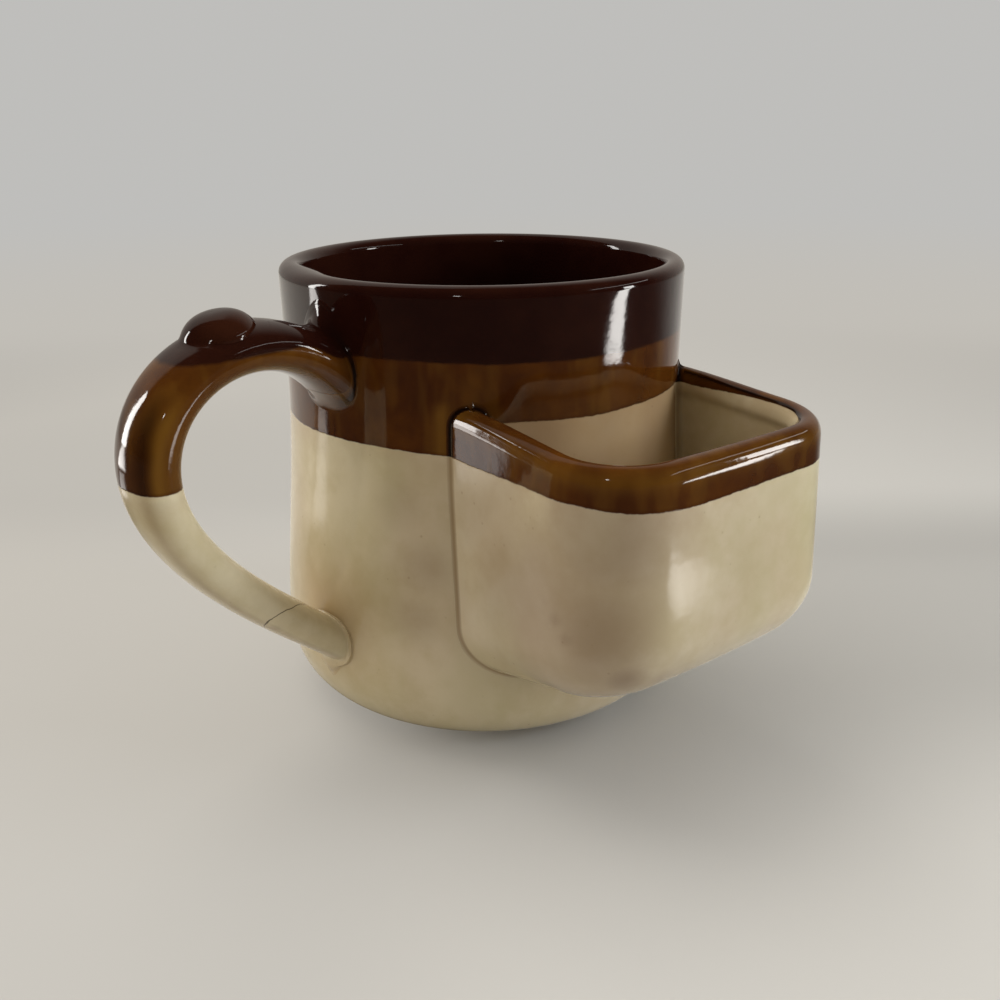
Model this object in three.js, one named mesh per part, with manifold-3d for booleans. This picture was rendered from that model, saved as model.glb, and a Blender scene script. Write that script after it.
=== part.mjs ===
// A glazed stoneware soup mug with a biscuit pocket on its side and a loop handle with a thumb rest.
// Millimetres, +Z up. The origin is the middle of the foot, on the surface that the mug stands on.
// The pocket faces -Y, and the handle points to -X, a little off square towards the pocket.
import * as THREE from "three";
import { mergeVertices } from "three/addons/utils/BufferGeometryUtils.js";
import Module from "manifold-3d";

const wasm = await Module();
wasm.setup();

// Cup: radii are of the outside, heights are above the table, and a drop is below the top of the lip
const CUP_HEIGHT = 98.9;
const RIM_RADIUS = 44;
const LIP_THICKNESS = 5.4;
const WAIST_RADIUS = 43.8;
const WAIST_DROP = 23.9;
const BELLY_RADIUS = 47.8;
const BELLY_HEIGHT = 17.5;
const FOOT_RADIUS = 35.2;
const FOOT_HEIGHT = 2.4;
const FOOT_FLARE = 1.2;
const CUP_WALL = 4.4;
const CUP_FLOOR = 6;
const CUP_INSIDE_CORNER = 13;

// How long each end of the side's two curves keeps to its own direction, as a share of the way to the
// curve's other end
const FOOT_PULL_OUT = 0.62;
const FOOT_PULL_UP = 0.04;
const BELLY_PULL_DOWN = 0.6;
const BELLY_PULL_UP = 0.22;
const WAIST_PULL_DOWN = 0.33;

// Pocket: its reach is from the cup's axis to the corners of its front, which bows out between them. The
// side walls spread and skew by a share of the distance from the cup, and all walls lean out downwards.
// The rim's bead is flush outside and stands proud of the wall inside. The walls run on inside the cup's
// side by the buried length, where the cup then cuts them off.
const POCKET_WIDTH = 61;
const POCKET_SPREAD = 0.025;
const POCKET_SKEW = 0.025;
const POCKET_DRAFT = 0.03;
const POCKET_REACH = 75.2;
const POCKET_BOW = 1;
const POCKET_CORNER = 15;
const POCKET_WALL = 4;
const POCKET_BOTTOM = 18.2;
const POCKET_BOTTOM_RISE = 10.8;
const POCKET_BOTTOM_ROUND = 13;
const POCKET_FLOOR = 5;
const POCKET_RIM_DROP = 22.6;
const POCKET_RIM_DIP = 2.3;
const POCKET_BEAD_PROUD = 1;
const POCKET_BURIED = 13.4;

// Handle: a strap whose middle line is two curves in an upright plane. Each pull is how far a curve keeps
// to its end's direction, and the widest reach is a drop below the root. The section is a superellipse,
// from an oval at a squareness of 2 towards a box at higher ones, and it tapers from the root to the foot.
const HANDLE_OFF_SQUARE = THREE.MathUtils.degToRad(8.6);
const HANDLE_REACH = 82.8;
const HANDLE_REACH_DROP = 12.4;
const HANDLE_ROOT_DROP = 17.6;
const HANDLE_ROOT_PULL = new THREE.Vector2(15, 14.6);
const HANDLE_CROWN_PULL = 18.7;
const HANDLE_SIDE_PULL = 17.2;
const HANDLE_FOOT_HEIGHT = 23.1;
const HANDLE_FOOT_PULL = new THREE.Vector2(13.5, 11.9);
const HANDLE_SQUARENESS = 2.4;
const HANDLE_ROOT_WIDTH = 17;
const HANDLE_FOOT_WIDTH = 12.5;
const HANDLE_ROOT_THICKNESS = 9.9;
const HANDLE_FOOT_THICKNESS = 7.7;
const HANDLE_BURIED = 9;

// Thumb rest: a pressed ball of clay on the crown of the handle, placed along the handle's middle line
const THUMB_FROM_CUP = 23.5;
const THUMB_LENGTH = 13.6;
const THUMB_WIDTH = 13.6;
const THUMB_HEIGHT = 11;
const THUMB_RISE = 3;

// Clay joints: the soft clay worked into each seam. On top of the handle's root it is drawn into a web, up
// the cup and along the handle. A fillet's section first runs on past the seam, by a share of its size,
// and is then trimmed back to the gap.
const HANDLE_FILLET = 2.2;
const HANDLE_WEB_UP = 7;
const HANDLE_WEB_ALONG = 5;
const HANDLE_WEB_SHARPNESS = 4;
const POCKET_FILLET = 2.4;
const POCKET_INNER_FILLET = 3;
const FILLET_PAST_SEAM = 0.4;
const SEAM_GAP = 0.3;

// Fineness
const CUP_SEGMENTS = 64;
const CURVE_STEPS = 6;
const WALL_STEPS = 5;
const HANDLE_STEPS = 32;
const HANDLE_SIDES = 20;
const FILLET_STEPS = 4;
const SEAM_STEPS = 42;
const HALVINGS = 20;
const MERGE_WITHIN = 1e-4;

const waistHeight = CUP_HEIGHT - WAIST_DROP;
const lipRadius = LIP_THICKNESS / 2;
const lipHeight = CUP_HEIGHT - lipRadius;
const pocketRimHeight = CUP_HEIGHT - POCKET_RIM_DROP;
const beadRadius = (POCKET_WALL + POCKET_BEAD_PROUD) / 2;
const beadHeight = pocketRimHeight - beadRadius;
const insideRound = POCKET_BOTTOM_ROUND - POCKET_WALL;
const pocketFloorHeight = POCKET_BOTTOM + POCKET_FLOOR;
const handleRootHeight = CUP_HEIGHT - HANDLE_ROOT_DROP;

// Turns a geometry into a solid that can be joined and cut
function toSolid(geometry) {
  const bare = geometry.clone();
  bare.deleteAttribute("normal");
  bare.deleteAttribute("uv");
  const merged = mergeVertices(bare, MERGE_WITHIN);
  const mesh = new wasm.Mesh({
    numProp: 3,
    vertProperties: new Float32Array(merged.attributes.position.array),
    triVerts: new Uint32Array(merged.index.array),
  });
  return new wasm.Manifold(mesh);
}

function toGeometry(solid) {
  const { vertProperties, triVerts } = solid.getMesh();
  const geometry = new THREE.BufferGeometry();
  geometry.setAttribute("position", new THREE.BufferAttribute(vertProperties, 3));
  geometry.setIndex(new THREE.BufferAttribute(triVerts, 1));
  geometry.computeVertexNormals();
  return geometry;
}

function cut(geometry, ...tools) {
  let solid = toSolid(geometry);
  for (const tool of tools) solid = solid.subtract(toSolid(tool));
  return toGeometry(solid);
}

// A skin over rings of points of one count, which run anticlockwise seen from the last ring. The end
// rings close to their own middles, unless the rings go round and meet.
function loft(rings, meets = false) {
  const count = rings[0].length;
  const points = rings.flat();
  const faces = [];
  const spans = meets ? rings.length : rings.length - 1;
  for (let i = 0; i < spans; i++) {
    const here = i * count;
    const next = ((i + 1) % rings.length) * count;
    for (let j = 0; j < count; j++) {
      const k = (j + 1) % count;
      faces.push(here + j, here + k, next + k, here + j, next + k, next + j);
    }
  }
  if (!meets) {
    for (const end of [0, rings.length - 1]) {
      const middle = new THREE.Vector3();
      for (const point of rings[end]) middle.addScaledVector(point, 1 / count);
      const hub = points.push(middle) - 1;
      for (let j = 0; j < count; j++) {
        const edge = [end * count + j, end * count + ((j + 1) % count)];
        faces.push(hub, ...(end === 0 ? edge.reverse() : edge));
      }
    }
  }
  const geometry = new THREE.BufferGeometry().setFromPoints(points);
  geometry.setIndex(faces);
  geometry.computeVertexNormals();
  return geometry;
}

// The cup's side is two curves, from the foot out to the belly and from the belly in to the waist. The
// first keeps low and then turns up, and the second leaves the belly and meets the waist upright.
function sideCurves(grow) {
  const foot = new THREE.Vector2(FOOT_RADIUS + FOOT_FLARE + grow, FOOT_HEIGHT);
  const belly = new THREE.Vector2(BELLY_RADIUS + grow, BELLY_HEIGHT);
  const waist = new THREE.Vector2(WAIST_RADIUS + grow, waistHeight);
  const swell = new THREE.Vector2().subVectors(belly, foot);
  const rise = waist.y - belly.y;
  const lower = new THREE.CubicBezierCurve(
    foot,
    new THREE.Vector2(foot.x + FOOT_PULL_OUT * swell.x, foot.y + FOOT_PULL_UP * swell.y),
    new THREE.Vector2(belly.x, belly.y - BELLY_PULL_DOWN * swell.y),
    belly,
  );
  const upper = new THREE.CubicBezierCurve(
    belly,
    new THREE.Vector2(belly.x, belly.y + BELLY_PULL_UP * rise),
    new THREE.Vector2(waist.x, waist.y - WAIST_PULL_DOWN * rise),
    waist,
  );
  return { lower, upper };
}

function outerSide(grow = 0) {
  const { lower, upper } = sideCurves(grow);
  return [
    ...lower.getPoints(CURVE_STEPS),
    ...upper.getPoints(CURVE_STEPS).slice(1),
    new THREE.Vector2(RIM_RADIUS + grow, lipHeight),
  ];
}

function lip() {
  const path = new THREE.Path();
  path.absarc(RIM_RADIUS - lipRadius, lipHeight, lipRadius, 0, Math.PI, false);
  return path.getPoints(CURVE_STEPS).slice(1);
}

// The outside radius of the cup at a height
function cupRadius(height) {
  const side = outerSide();
  const above = side.findIndex((point) => point.y >= height);
  if (above < 1) return side.at(above).x;
  const [low, high] = [side[above - 1], side[above]];
  return THREE.MathUtils.mapLinear(height, low.y, high.y, low.x, high.x);
}

// The inside runs down at the wall's thickness, turns a round corner and meets the floor
function innerSide() {
  const cornerTop = CUP_FLOOR + CUP_INSIDE_CORNER;
  const wall = sideCurves(-CUP_WALL).upper.getPoints(CURVE_STEPS);
  const straight = wall.filter((point) => point.y > cornerTop).reverse();
  const radius = cupRadius(cornerTop) - CUP_WALL;
  const corner = new THREE.Path();
  corner.absarc(radius - CUP_INSIDE_CORNER, cornerTop, CUP_INSIDE_CORNER, 0, -Math.PI / 2, true);
  return [...straight, ...corner.getPoints(CURVE_STEPS)];
}

// A lathe turns about Y, so its work is stood up on Z
function turned(profile) {
  return new THREE.LatheGeometry(profile, CUP_SEGMENTS).rotateX(Math.PI / 2);
}

function cupBody() {
  return turned([
    new THREE.Vector2(0, 0),
    new THREE.Vector2(FOOT_RADIUS, 0),
    ...outerSide(),
    ...lip(),
    ...innerSide(),
    new THREE.Vector2(0, CUP_FLOOR),
  ]);
}

// The cup filled and grown by the seam gap, which trims whatever is joined to it
function cupTrim() {
  return turned([
    new THREE.Vector2(0, -SEAM_GAP),
    new THREE.Vector2(FOOT_RADIUS + SEAM_GAP, -SEAM_GAP),
    ...outerSide(SEAM_GAP),
    new THREE.Vector2(RIM_RADIUS + SEAM_GAP, CUP_HEIGHT),
    new THREE.Vector2(0, CUP_HEIGHT),
  ]);
}

// Where the pocket's side walls leave the cup, as a distance from the cup's axis
const pocketSpring = Math.sqrt(WAIST_RADIUS ** 2 - (POCKET_WIDTH / 2) ** 2);
const pocketBack = pocketSpring - POCKET_BURIED;

// From the cup to its front, the pocket's rim eases down and its bottom rises
function rimDip(depth) {
  return POCKET_RIM_DIP * THREE.MathUtils.smoothstep(depth, pocketSpring, POCKET_REACH - POCKET_WALL);
}

function bottomRise(depth) {
  return (POCKET_BOTTOM_RISE * (depth - pocketSpring)) / (POCKET_REACH - pocketSpring);
}

// Carries a plan position to its place. The height is given where the pocket leaves the cup, and sinks by
// the dip at the rim and climbs by the rise at the bottom, mixed by how near the rim it is.
function pocketPoint(across, depth, height, half, rimShare) {
  const beyond = depth - pocketSpring;
  const spread = 1 + (POCKET_SPREAD * beyond) / (POCKET_WIDTH / 2);
  const bow = POCKET_BOW * (1 - (across / half) ** 2);
  const level = height + THREE.MathUtils.lerp(bottomRise(depth), -rimDip(depth), rimShare);
  return new THREE.Vector3(across * spread + POCKET_SKEW * beyond, -(depth + bow), level);
}

// One level of the pocket: its plan drawn in by an inset
function pocketRing(wallInset, height, rimShare) {
  const inset = wallInset - POCKET_DRAFT * (pocketRimHeight - height);
  const half = POCKET_WIDTH / 2 - inset;
  const front = POCKET_REACH - inset;
  const corner = POCKET_CORNER - inset;
  const right = [];
  for (let i = 0; i < CURVE_STEPS / 2; i++) {
    right.push([((half - corner) * i) / (CURVE_STEPS / 2), front]);
  }
  for (let i = 0; i <= CURVE_STEPS; i++) {
    const turn = (Math.PI / 2) * (1 - i / CURVE_STEPS);
    right.push([half - corner + corner * Math.cos(turn), front - corner + corner * Math.sin(turn)]);
  }
  for (let i = 1; i <= WALL_STEPS; i++) {
    right.push([half, THREE.MathUtils.lerp(front - corner, pocketBack + inset, i / WALL_STEPS)]);
  }
  const left = right.slice(1).reverse().map(([across, depth]) => [-across, depth]);
  return [...left, ...right].map(([across, depth]) => pocketPoint(across, depth, height, half, rimShare));
}

// The pocket as a whole tub: up the outside from the bottom, over the rim's bead, and down to the inside
// floor. Its back is inside the cup.
function pocketForm(grow = 0) {
  const rings = [];
  for (let i = 0; i <= CURVE_STEPS; i++) {
    const turn = (Math.PI / 2) * (i / CURVE_STEPS);
    const inset = POCKET_BOTTOM_ROUND * (1 - Math.sin(turn)) - grow;
    rings.push(pocketRing(inset, POCKET_BOTTOM - grow + POCKET_BOTTOM_ROUND * (1 - Math.cos(turn)), 0));
  }
  const bead = beadRadius + grow;
  const neck = Math.acos((POCKET_WALL + grow - beadRadius) / bead);
  for (let i = 0; i <= CURVE_STEPS; i++) {
    const turn = ((Math.PI + neck) * i) / CURVE_STEPS;
    rings.push(pocketRing(beadRadius - bead * Math.cos(turn), beadHeight + bead * Math.sin(turn), 1));
  }
  for (let i = 0; i <= CURVE_STEPS; i++) {
    const turn = (Math.PI / 2) * (i / CURVE_STEPS);
    const inset = POCKET_WALL + grow + insideRound * (1 - Math.cos(turn));
    rings.push(pocketRing(inset, pocketFloorHeight + grow + insideRound * (1 - Math.sin(turn)), 0));
  }
  return loft(rings);
}

function pocket() {
  return cut(pocketForm(), cupTrim());
}

// The upright plane of the handle: out from the cup's axis, and square to the plane
const handleOut = new THREE.Vector3(-Math.cos(HANDLE_OFF_SQUARE), -Math.sin(HANDLE_OFF_SQUARE), 0);

function handleLine() {
  const root = new THREE.Vector2(cupRadius(handleRootHeight), handleRootHeight);
  const foot = new THREE.Vector2(cupRadius(HANDLE_FOOT_HEIGHT), HANDLE_FOOT_HEIGHT);
  const reach = new THREE.Vector2(HANDLE_REACH, handleRootHeight - HANDLE_REACH_DROP);
  const rootInside = root.clone().addScaledVector(HANDLE_ROOT_PULL.clone().normalize(), -HANDLE_BURIED);
  const footInside = foot.clone().addScaledVector(HANDLE_FOOT_PULL.clone().normalize(), -HANDLE_BURIED);
  const line = new THREE.CurvePath();
  line.add(new THREE.LineCurve(rootInside, root));
  line.add(
    new THREE.CubicBezierCurve(
      root,
      root.clone().add(HANDLE_ROOT_PULL),
      new THREE.Vector2(reach.x, reach.y + HANDLE_CROWN_PULL),
      reach,
    ),
  );
  line.add(
    new THREE.CubicBezierCurve(
      reach,
      new THREE.Vector2(reach.x, reach.y - HANDLE_SIDE_PULL),
      foot.clone().add(HANDLE_FOOT_PULL),
      foot,
    ),
  );
  line.add(new THREE.LineCurve(foot, footInside));
  return line;
}

const handlePath = handleLine();

function inHandlePlane({ x, y }) {
  return handleOut.clone().multiplyScalar(x).setZ(y);
}

// The handle's section at a share of its length: middle, direction along, outward and across, half sizes
function handleSection(share) {
  const tangent = handlePath.getTangentAt(share);
  const along = inHandlePlane(tangent);
  const out = inHandlePlane({ x: -tangent.y, y: tangent.x });
  return {
    middle: inHandlePlane(handlePath.getPointAt(share)),
    along,
    out,
    across: new THREE.Vector3().crossVectors(along, out),
    halfThickness: THREE.MathUtils.lerp(HANDLE_ROOT_THICKNESS, HANDLE_FOOT_THICKNESS, share) / 2,
    halfWidth: THREE.MathUtils.lerp(HANDLE_ROOT_WIDTH, HANDLE_FOOT_WIDTH, share) / 2,
  };
}

function squared(value) {
  return Math.sign(value) * Math.abs(value) ** (2 / HANDLE_SQUARENESS);
}

function handleSkinPoint(section, turn, grow) {
  const { middle, out, across, halfThickness, halfWidth } = section;
  return middle
    .clone()
    .addScaledVector(out, (halfThickness + grow) * squared(Math.cos(turn)))
    .addScaledVector(across, (halfWidth + grow) * squared(Math.sin(turn)));
}

function handleForm(grow = 0) {
  const rings = [];
  for (let i = 0; i <= HANDLE_STEPS; i++) {
    const section = handleSection(i / HANDLE_STEPS);
    const ring = [];
    for (let j = 0; j < HANDLE_SIDES; j++) {
      ring.push(handleSkinPoint(section, (2 * Math.PI * j) / HANDLE_SIDES, grow));
    }
    rings.push(ring);
  }
  return loft(rings);
}

function handle() {
  return cut(handleForm(), cupTrim());
}

function thumbRest() {
  const share = (HANDLE_BURIED + THUMB_FROM_CUP) / handlePath.getLength();
  const { middle, along, out, across, halfThickness } = handleSection(share);
  const lift = halfThickness + THUMB_RISE - THUMB_HEIGHT / 2;
  const place = new THREE.Matrix4()
    .makeBasis(along, across.clone().negate(), out)
    .setPosition(middle.clone().addScaledVector(out, lift));
  const ball = new THREE.SphereGeometry(0.5, HANDLE_SIDES, HANDLE_SIDES / 2)
    .rotateX(Math.PI / 2)
    .scale(THUMB_LENGTH, THUMB_WIDTH, THUMB_HEIGHT)
    .applyMatrix4(place);
  return cut(ball, handleForm(SEAM_GAP));
}

// A seam's fillet: at each point of the seam, a hollow quarter round between the two surfaces, which
// run away from the seam along the neighbour and along the cup
function fillet(seam, size, meets, ...trims) {
  const first = seam[0];
  const onward = new THREE.Vector3().subVectors(seam[1].point, first.point);
  const turnsBack = new THREE.Vector3().crossVectors(first.onCup, first.onNeighbour).dot(onward) < 0;
  const rings = seam.map(({ point, onCup, onNeighbour }) => {
    const [cupSide, neighbourSide] = [onCup, onNeighbour].map((way) => way.clone().multiplyScalar(size));
    const at = (cupShare, neighbourShare) =>
      point.clone().addScaledVector(cupSide, cupShare).addScaledVector(neighbourSide, neighbourShare);
    const ring = [at(-FILLET_PAST_SEAM, -FILLET_PAST_SEAM), at(1, -FILLET_PAST_SEAM)];
    for (let i = 0; i <= FILLET_STEPS; i++) {
      const turn = (Math.PI / 2) * (i / FILLET_STEPS);
      ring.push(at(1 - Math.sin(turn), 1 - Math.cos(turn)));
    }
    ring.push(at(-FILLET_PAST_SEAM, 1));
    return ring;
  });
  return cut(loft(turnsBack ? rings.reverse() : rings, meets), cupTrim(), ...trims);
}

// What is left of a direction along the cup's side at a point
function alongCup(direction, point) {
  const outward = new THREE.Vector3(point.x, point.y, 0).normalize();
  return direction.clone().addScaledVector(outward, -direction.dot(outward)).normalize();
}

// Where a line of skin leaves the cup, between a place that is buried in the cup and one that is clear of
// it, found by halving
function leaving(buried, clear, skinAt) {
  let [inside, outside] = [buried, clear];
  for (let i = 0; i < HALVINGS; i++) {
    const middle = (inside + outside) / 2;
    const point = skinAt(middle);
    if (Math.hypot(point.x, point.y) < cupRadius(point.z)) inside = middle;
    else outside = middle;
  }
  return outside;
}

// The seam round one end of the handle, which is clear of the cup a quarter of the way along. Its two
// directions are longer where the web is drawn out of the root's top.
function handleSeam(fromRoot) {
  const [buriedShare, clearShare] = fromRoot ? [0, 1 / 4] : [1, 3 / 4];
  const seam = [];
  for (let j = 0; j < HANDLE_SIDES; j++) {
    const turn = (2 * Math.PI * j) / HANDLE_SIDES;
    const share = leaving(buriedShare, clearShare, (at) => handleSkinPoint(handleSection(at), turn, 0));
    const section = handleSection(share);
    const point = handleSkinPoint(section, turn, 0);
    const skin = section.out
      .clone()
      .multiplyScalar(Math.cos(turn) * section.halfWidth)
      .addScaledVector(section.across, Math.sin(turn) * section.halfThickness)
      .normalize();
    const web = fromRoot ? Math.max(0, Math.cos(turn)) ** HANDLE_WEB_SHARPNESS : 0;
    const up = THREE.MathUtils.lerp(1, HANDLE_WEB_UP / HANDLE_FILLET, web);
    const along = THREE.MathUtils.lerp(1, HANDLE_WEB_ALONG / HANDLE_FILLET, web);
    const onNeighbour = section.along.clone().multiplyScalar(fromRoot ? along : -along);
    seam.push({ point, onCup: alongCup(skin, point).multiplyScalar(up), onNeighbour });
  }
  return seam;
}

function handleJoint(fromRoot) {
  return fillet(handleSeam(fromRoot), HANDLE_FILLET, true, handleForm(SEAM_GAP));
}

// The seam between the pocket and the cup, seen square on: down one wall, round the bottom and up the
// other. It faces out from the pocket's outside or in from its inside.
function pocketSeam(half, round, bottom, facing) {
  const section = new THREE.Path();
  section.moveTo(-half, beadHeight);
  section.lineTo(-half, bottom + round);
  section.absarc(-(half - round), bottom + round, round, Math.PI, 1.5 * Math.PI, false);
  section.lineTo(half - round, bottom);
  section.absarc(half - round, bottom + round, round, 1.5 * Math.PI, 2 * Math.PI, false);
  section.lineTo(half, beadHeight);
  const roundTop = bottom + round;
  const seam = [];
  for (let i = 0; i <= SEAM_STEPS; i++) {
    const level = section.getPointAt(i / SEAM_STEPS);
    const tangent = section.getTangentAt(i / SEAM_STEPS);
    const grownHalf = half + POCKET_DRAFT * (pocketRimHeight - level.y);
    const across = (level.x * grownHalf) / half;
    const rimShare = Math.max(0, (level.y - roundTop) / (beadHeight - roundTop));
    const skinAt = (depth) => pocketPoint(across, depth, level.y, grownHalf, rimShare);
    const point = skinAt(leaving(pocketBack, POCKET_REACH, skinAt));
    const wall = new THREE.Vector3(tangent.y, 0, -tangent.x).multiplyScalar(facing);
    seam.push({ point, onCup: alongCup(wall, point), onNeighbour: new THREE.Vector3(0, -1, 0) });
  }
  return seam;
}

function pocketOuterJoint() {
  const seam = pocketSeam(POCKET_WIDTH / 2, POCKET_BOTTOM_ROUND, POCKET_BOTTOM, 1);
  return fillet(seam, POCKET_FILLET, false, pocketForm(SEAM_GAP));
}

function pocketInnerJoint() {
  const seam = pocketSeam(POCKET_WIDTH / 2 - POCKET_WALL, insideRound, pocketFloorHeight, -1);
  return fillet(seam, POCKET_INNER_FILLET, false, pocketForm(SEAM_GAP));
}

const finishes = {
  cream: { color: 0xd6c3a0, roughness: 0.18, metalness: 0 },
  amber: { color: 0x6b3a12, roughness: 0.15, metalness: 0 },
  brown: { color: 0x2c120a, roughness: 0.12, metalness: 0 },
};

const mug = new THREE.Group();

function add(name, geometry, finish) {
  const mesh = new THREE.Mesh(geometry, new THREE.MeshStandardMaterial(finishes[finish]));
  mesh.name = name;
  mug.add(mesh);
}

add("cup_body", cupBody(), "cream");
add("biscuit_pocket", pocket(), "cream");
add("handle", handle(), "amber");
add("thumb_rest", thumbRest(), "brown");
add("handle_upper_joint", handleJoint(true), "brown");
add("handle_lower_joint", handleJoint(false), "cream");
add("pocket_outer_joint", pocketOuterJoint(), "cream");
add("pocket_inner_joint", pocketInnerJoint(), "cream");

export default mug;
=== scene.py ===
"""A glazed stoneware soup mug with a biscuit pocket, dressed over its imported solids.

Metres, +Z up, in the part's own frame: the pocket faces -Y and the handle points to -X.
"""

import logging
import math
from dataclasses import dataclass, field
from enum import Enum
from functools import cached_property

import bmesh
import bpy
import numpy as np
from mathutils import Matrix, Vector


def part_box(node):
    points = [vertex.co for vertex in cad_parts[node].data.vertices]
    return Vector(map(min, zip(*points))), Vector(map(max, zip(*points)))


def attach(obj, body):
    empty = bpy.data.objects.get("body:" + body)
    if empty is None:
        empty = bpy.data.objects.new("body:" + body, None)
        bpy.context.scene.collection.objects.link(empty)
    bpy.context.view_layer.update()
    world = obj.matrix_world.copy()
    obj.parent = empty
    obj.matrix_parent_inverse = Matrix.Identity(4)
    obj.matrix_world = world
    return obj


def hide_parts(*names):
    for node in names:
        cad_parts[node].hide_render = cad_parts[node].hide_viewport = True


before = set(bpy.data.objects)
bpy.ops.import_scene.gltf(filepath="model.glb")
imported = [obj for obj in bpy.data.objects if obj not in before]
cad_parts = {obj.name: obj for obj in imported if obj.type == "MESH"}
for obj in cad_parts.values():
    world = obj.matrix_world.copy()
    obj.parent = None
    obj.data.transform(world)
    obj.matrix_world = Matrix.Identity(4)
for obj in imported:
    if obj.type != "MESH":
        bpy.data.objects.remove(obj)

logger = logging.getLogger("mug")

Pair = tuple[float, float]
Triple = tuple[float, float, float]

BODY = "root"
MERGE_WITHIN = 1e-7

# Times a vector, these leave its level part and its upright part.
LEVEL = np.array([1.0, 1.0, 0.0])
UPRIGHT = np.array([0.0, 0.0, 1.0])


class Slot(Enum):
    """The material slots."""

    CREAM = "cream_glaze"
    AMBER = "amber_glaze"
    BROWN = "brown_glaze"


class Mark(Enum):
    """What each vertex tells the glaze about its place on the mug."""

    CREAM_TOP = "cream_top"
    AMBER_TOP = "amber_top"
    THIN = "thin"
    # Pooled glaze, and painted shade inside the cup.
    POOL_AND_SHADE = "pool"
    # Tan stains, and painted shade inside the pocket.
    STAIN_AND_SHADE = "stain_and_shade"
    # Smoke marks, and broad painted shade on the pocket's side.
    SMUDGE_AND_SHADE = "smudge_and_shade"
    CRACK = "crack"
    BARE = "bare"

    @property
    def unmarked(self) -> float:
        """The value on a piece that says nothing about this mark."""
        return 1.0 if self is Mark.CRACK else 0.0


def cubic(ends: list[np.ndarray], share: np.ndarray) -> np.ndarray:
    """Points on a cubic curve: its ends and pulls, weighted by the cubic shares.

    Args:
        ends: The start, its pull, the end's pull and the end.
        share: Where along the curve, from 0 to 1.

    Returns:
        One point for each share.
    """
    t = np.asarray(share)[..., None]
    start, start_pull, end_pull, end = (np.asarray(point, float) for point in ends)
    return (
        (1 - t) ** 3 * start
        + 3 * (1 - t) ** 2 * t * start_pull
        + 3 * (1 - t) * t**2 * end_pull
        + t**3 * end
    )


def smoothstep(value: np.ndarray, low: float, high: float) -> np.ndarray:
    """Rises from 0 at low to 1 at high, level at both ends."""
    t = np.clip((value - low) / (high - low), 0, 1)
    return t * t * (3 - 2 * t)


def hill(value: np.ndarray, middle: float, spread: float) -> np.ndarray:
    """A bell curve that is 1 at its middle."""
    return np.exp(-(((value - middle) / spread) ** 2))


def squared(value: np.ndarray, squareness: float) -> np.ndarray:
    """Turns a sine or cosine into a superellipse's: its size to the power of 2 over the squareness."""
    return np.sign(value) * np.abs(value) ** (2 / squareness)


def unit(vectors: np.ndarray) -> np.ndarray:
    """The same directions at length 1."""
    return vectors / np.linalg.norm(vectors, axis=-1, keepdims=True)


def flattened(ways: np.ndarray, normals: np.ndarray) -> np.ndarray:
    """The part of each way that runs along the surface with that normal, at length 1."""
    return unit(ways - (ways * normals).sum(axis=1, keepdims=True) * normals)


def capped(points: np.ndarray) -> np.ndarray:
    """The same rows with one more at each end, where the end row has shrunk to its middle."""
    first, last = (np.broadcast_to(row.mean(axis=0), row.shape) for row in (points[0], points[-1]))
    return np.concatenate([first[None], points, last[None]])


def make_piece(
    name: str,
    points: np.ndarray,
    marks: dict[Mark, np.ndarray],
    rows_meet: bool = False,
    columns_meet: bool = False,
    strips: bool = False,
) -> bpy.types.Object:
    """Makes a closed piece from a grid of points.

    Neighbours in the grid share a face. Points in one place are merged, so a row that shrinks to a point
    closes its end. Faces are then turned to point outwards.

    Args:
        name: The piece's name.
        points: The grid, as rows by columns by 3.
        marks: A value for each point of the grid, by mark.
        rows_meet: Whether the last row joins the first.
        columns_meet: Whether the last column joins the first.
        strips: Whether the first and last columns are each closed on themselves, row against mirrored row.

    Returns:
        The piece, at the origin.
    """
    rows, columns = points.shape[:2]
    index = np.arange(rows * columns).reshape(rows, columns)
    if rows_meet:
        index = np.vstack([index, index[:1]])
    if columns_meet:
        index = np.hstack([index, index[:, :1]])
    quads = np.stack([index[:-1, :-1], index[:-1, 1:], index[1:, 1:], index[1:, :-1]], axis=-1)
    faces = [quads.reshape(-1, 4)]
    if strips:
        here = np.arange(rows // 2 - 1)
        for edge in (index[:, 0], index[:, -1]):
            mirrored = edge[::-1]
            strip = [edge[here], edge[here + 1], mirrored[here + 1], mirrored[here]]
            faces.append(np.stack(strip, axis=-1))
    mesh = bpy.data.meshes.new(name)
    mesh.from_pydata(points.reshape(-1, 3).tolist(), [], np.vstack(faces).tolist())
    for mark in Mark:
        layer = mesh.attributes.new(mark.value, "FLOAT", "POINT")
        values = np.broadcast_to(marks.get(mark, mark.unmarked), (rows, columns))
        layer.data.foreach_set("value", values.astype(np.float32).ravel())
    shape = bmesh.new()
    shape.from_mesh(mesh)
    bmesh.ops.remove_doubles(shape, verts=shape.verts, dist=MERGE_WITHIN)
    bmesh.ops.recalc_face_normals(shape, faces=shape.faces)
    shape.to_mesh(mesh)
    shape.free()
    mesh.polygons.foreach_set("use_smooth", np.ones(len(mesh.polygons), bool))
    piece = bpy.data.objects.new(name, mesh)
    bpy.context.scene.collection.objects.link(piece)
    return piece


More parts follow.
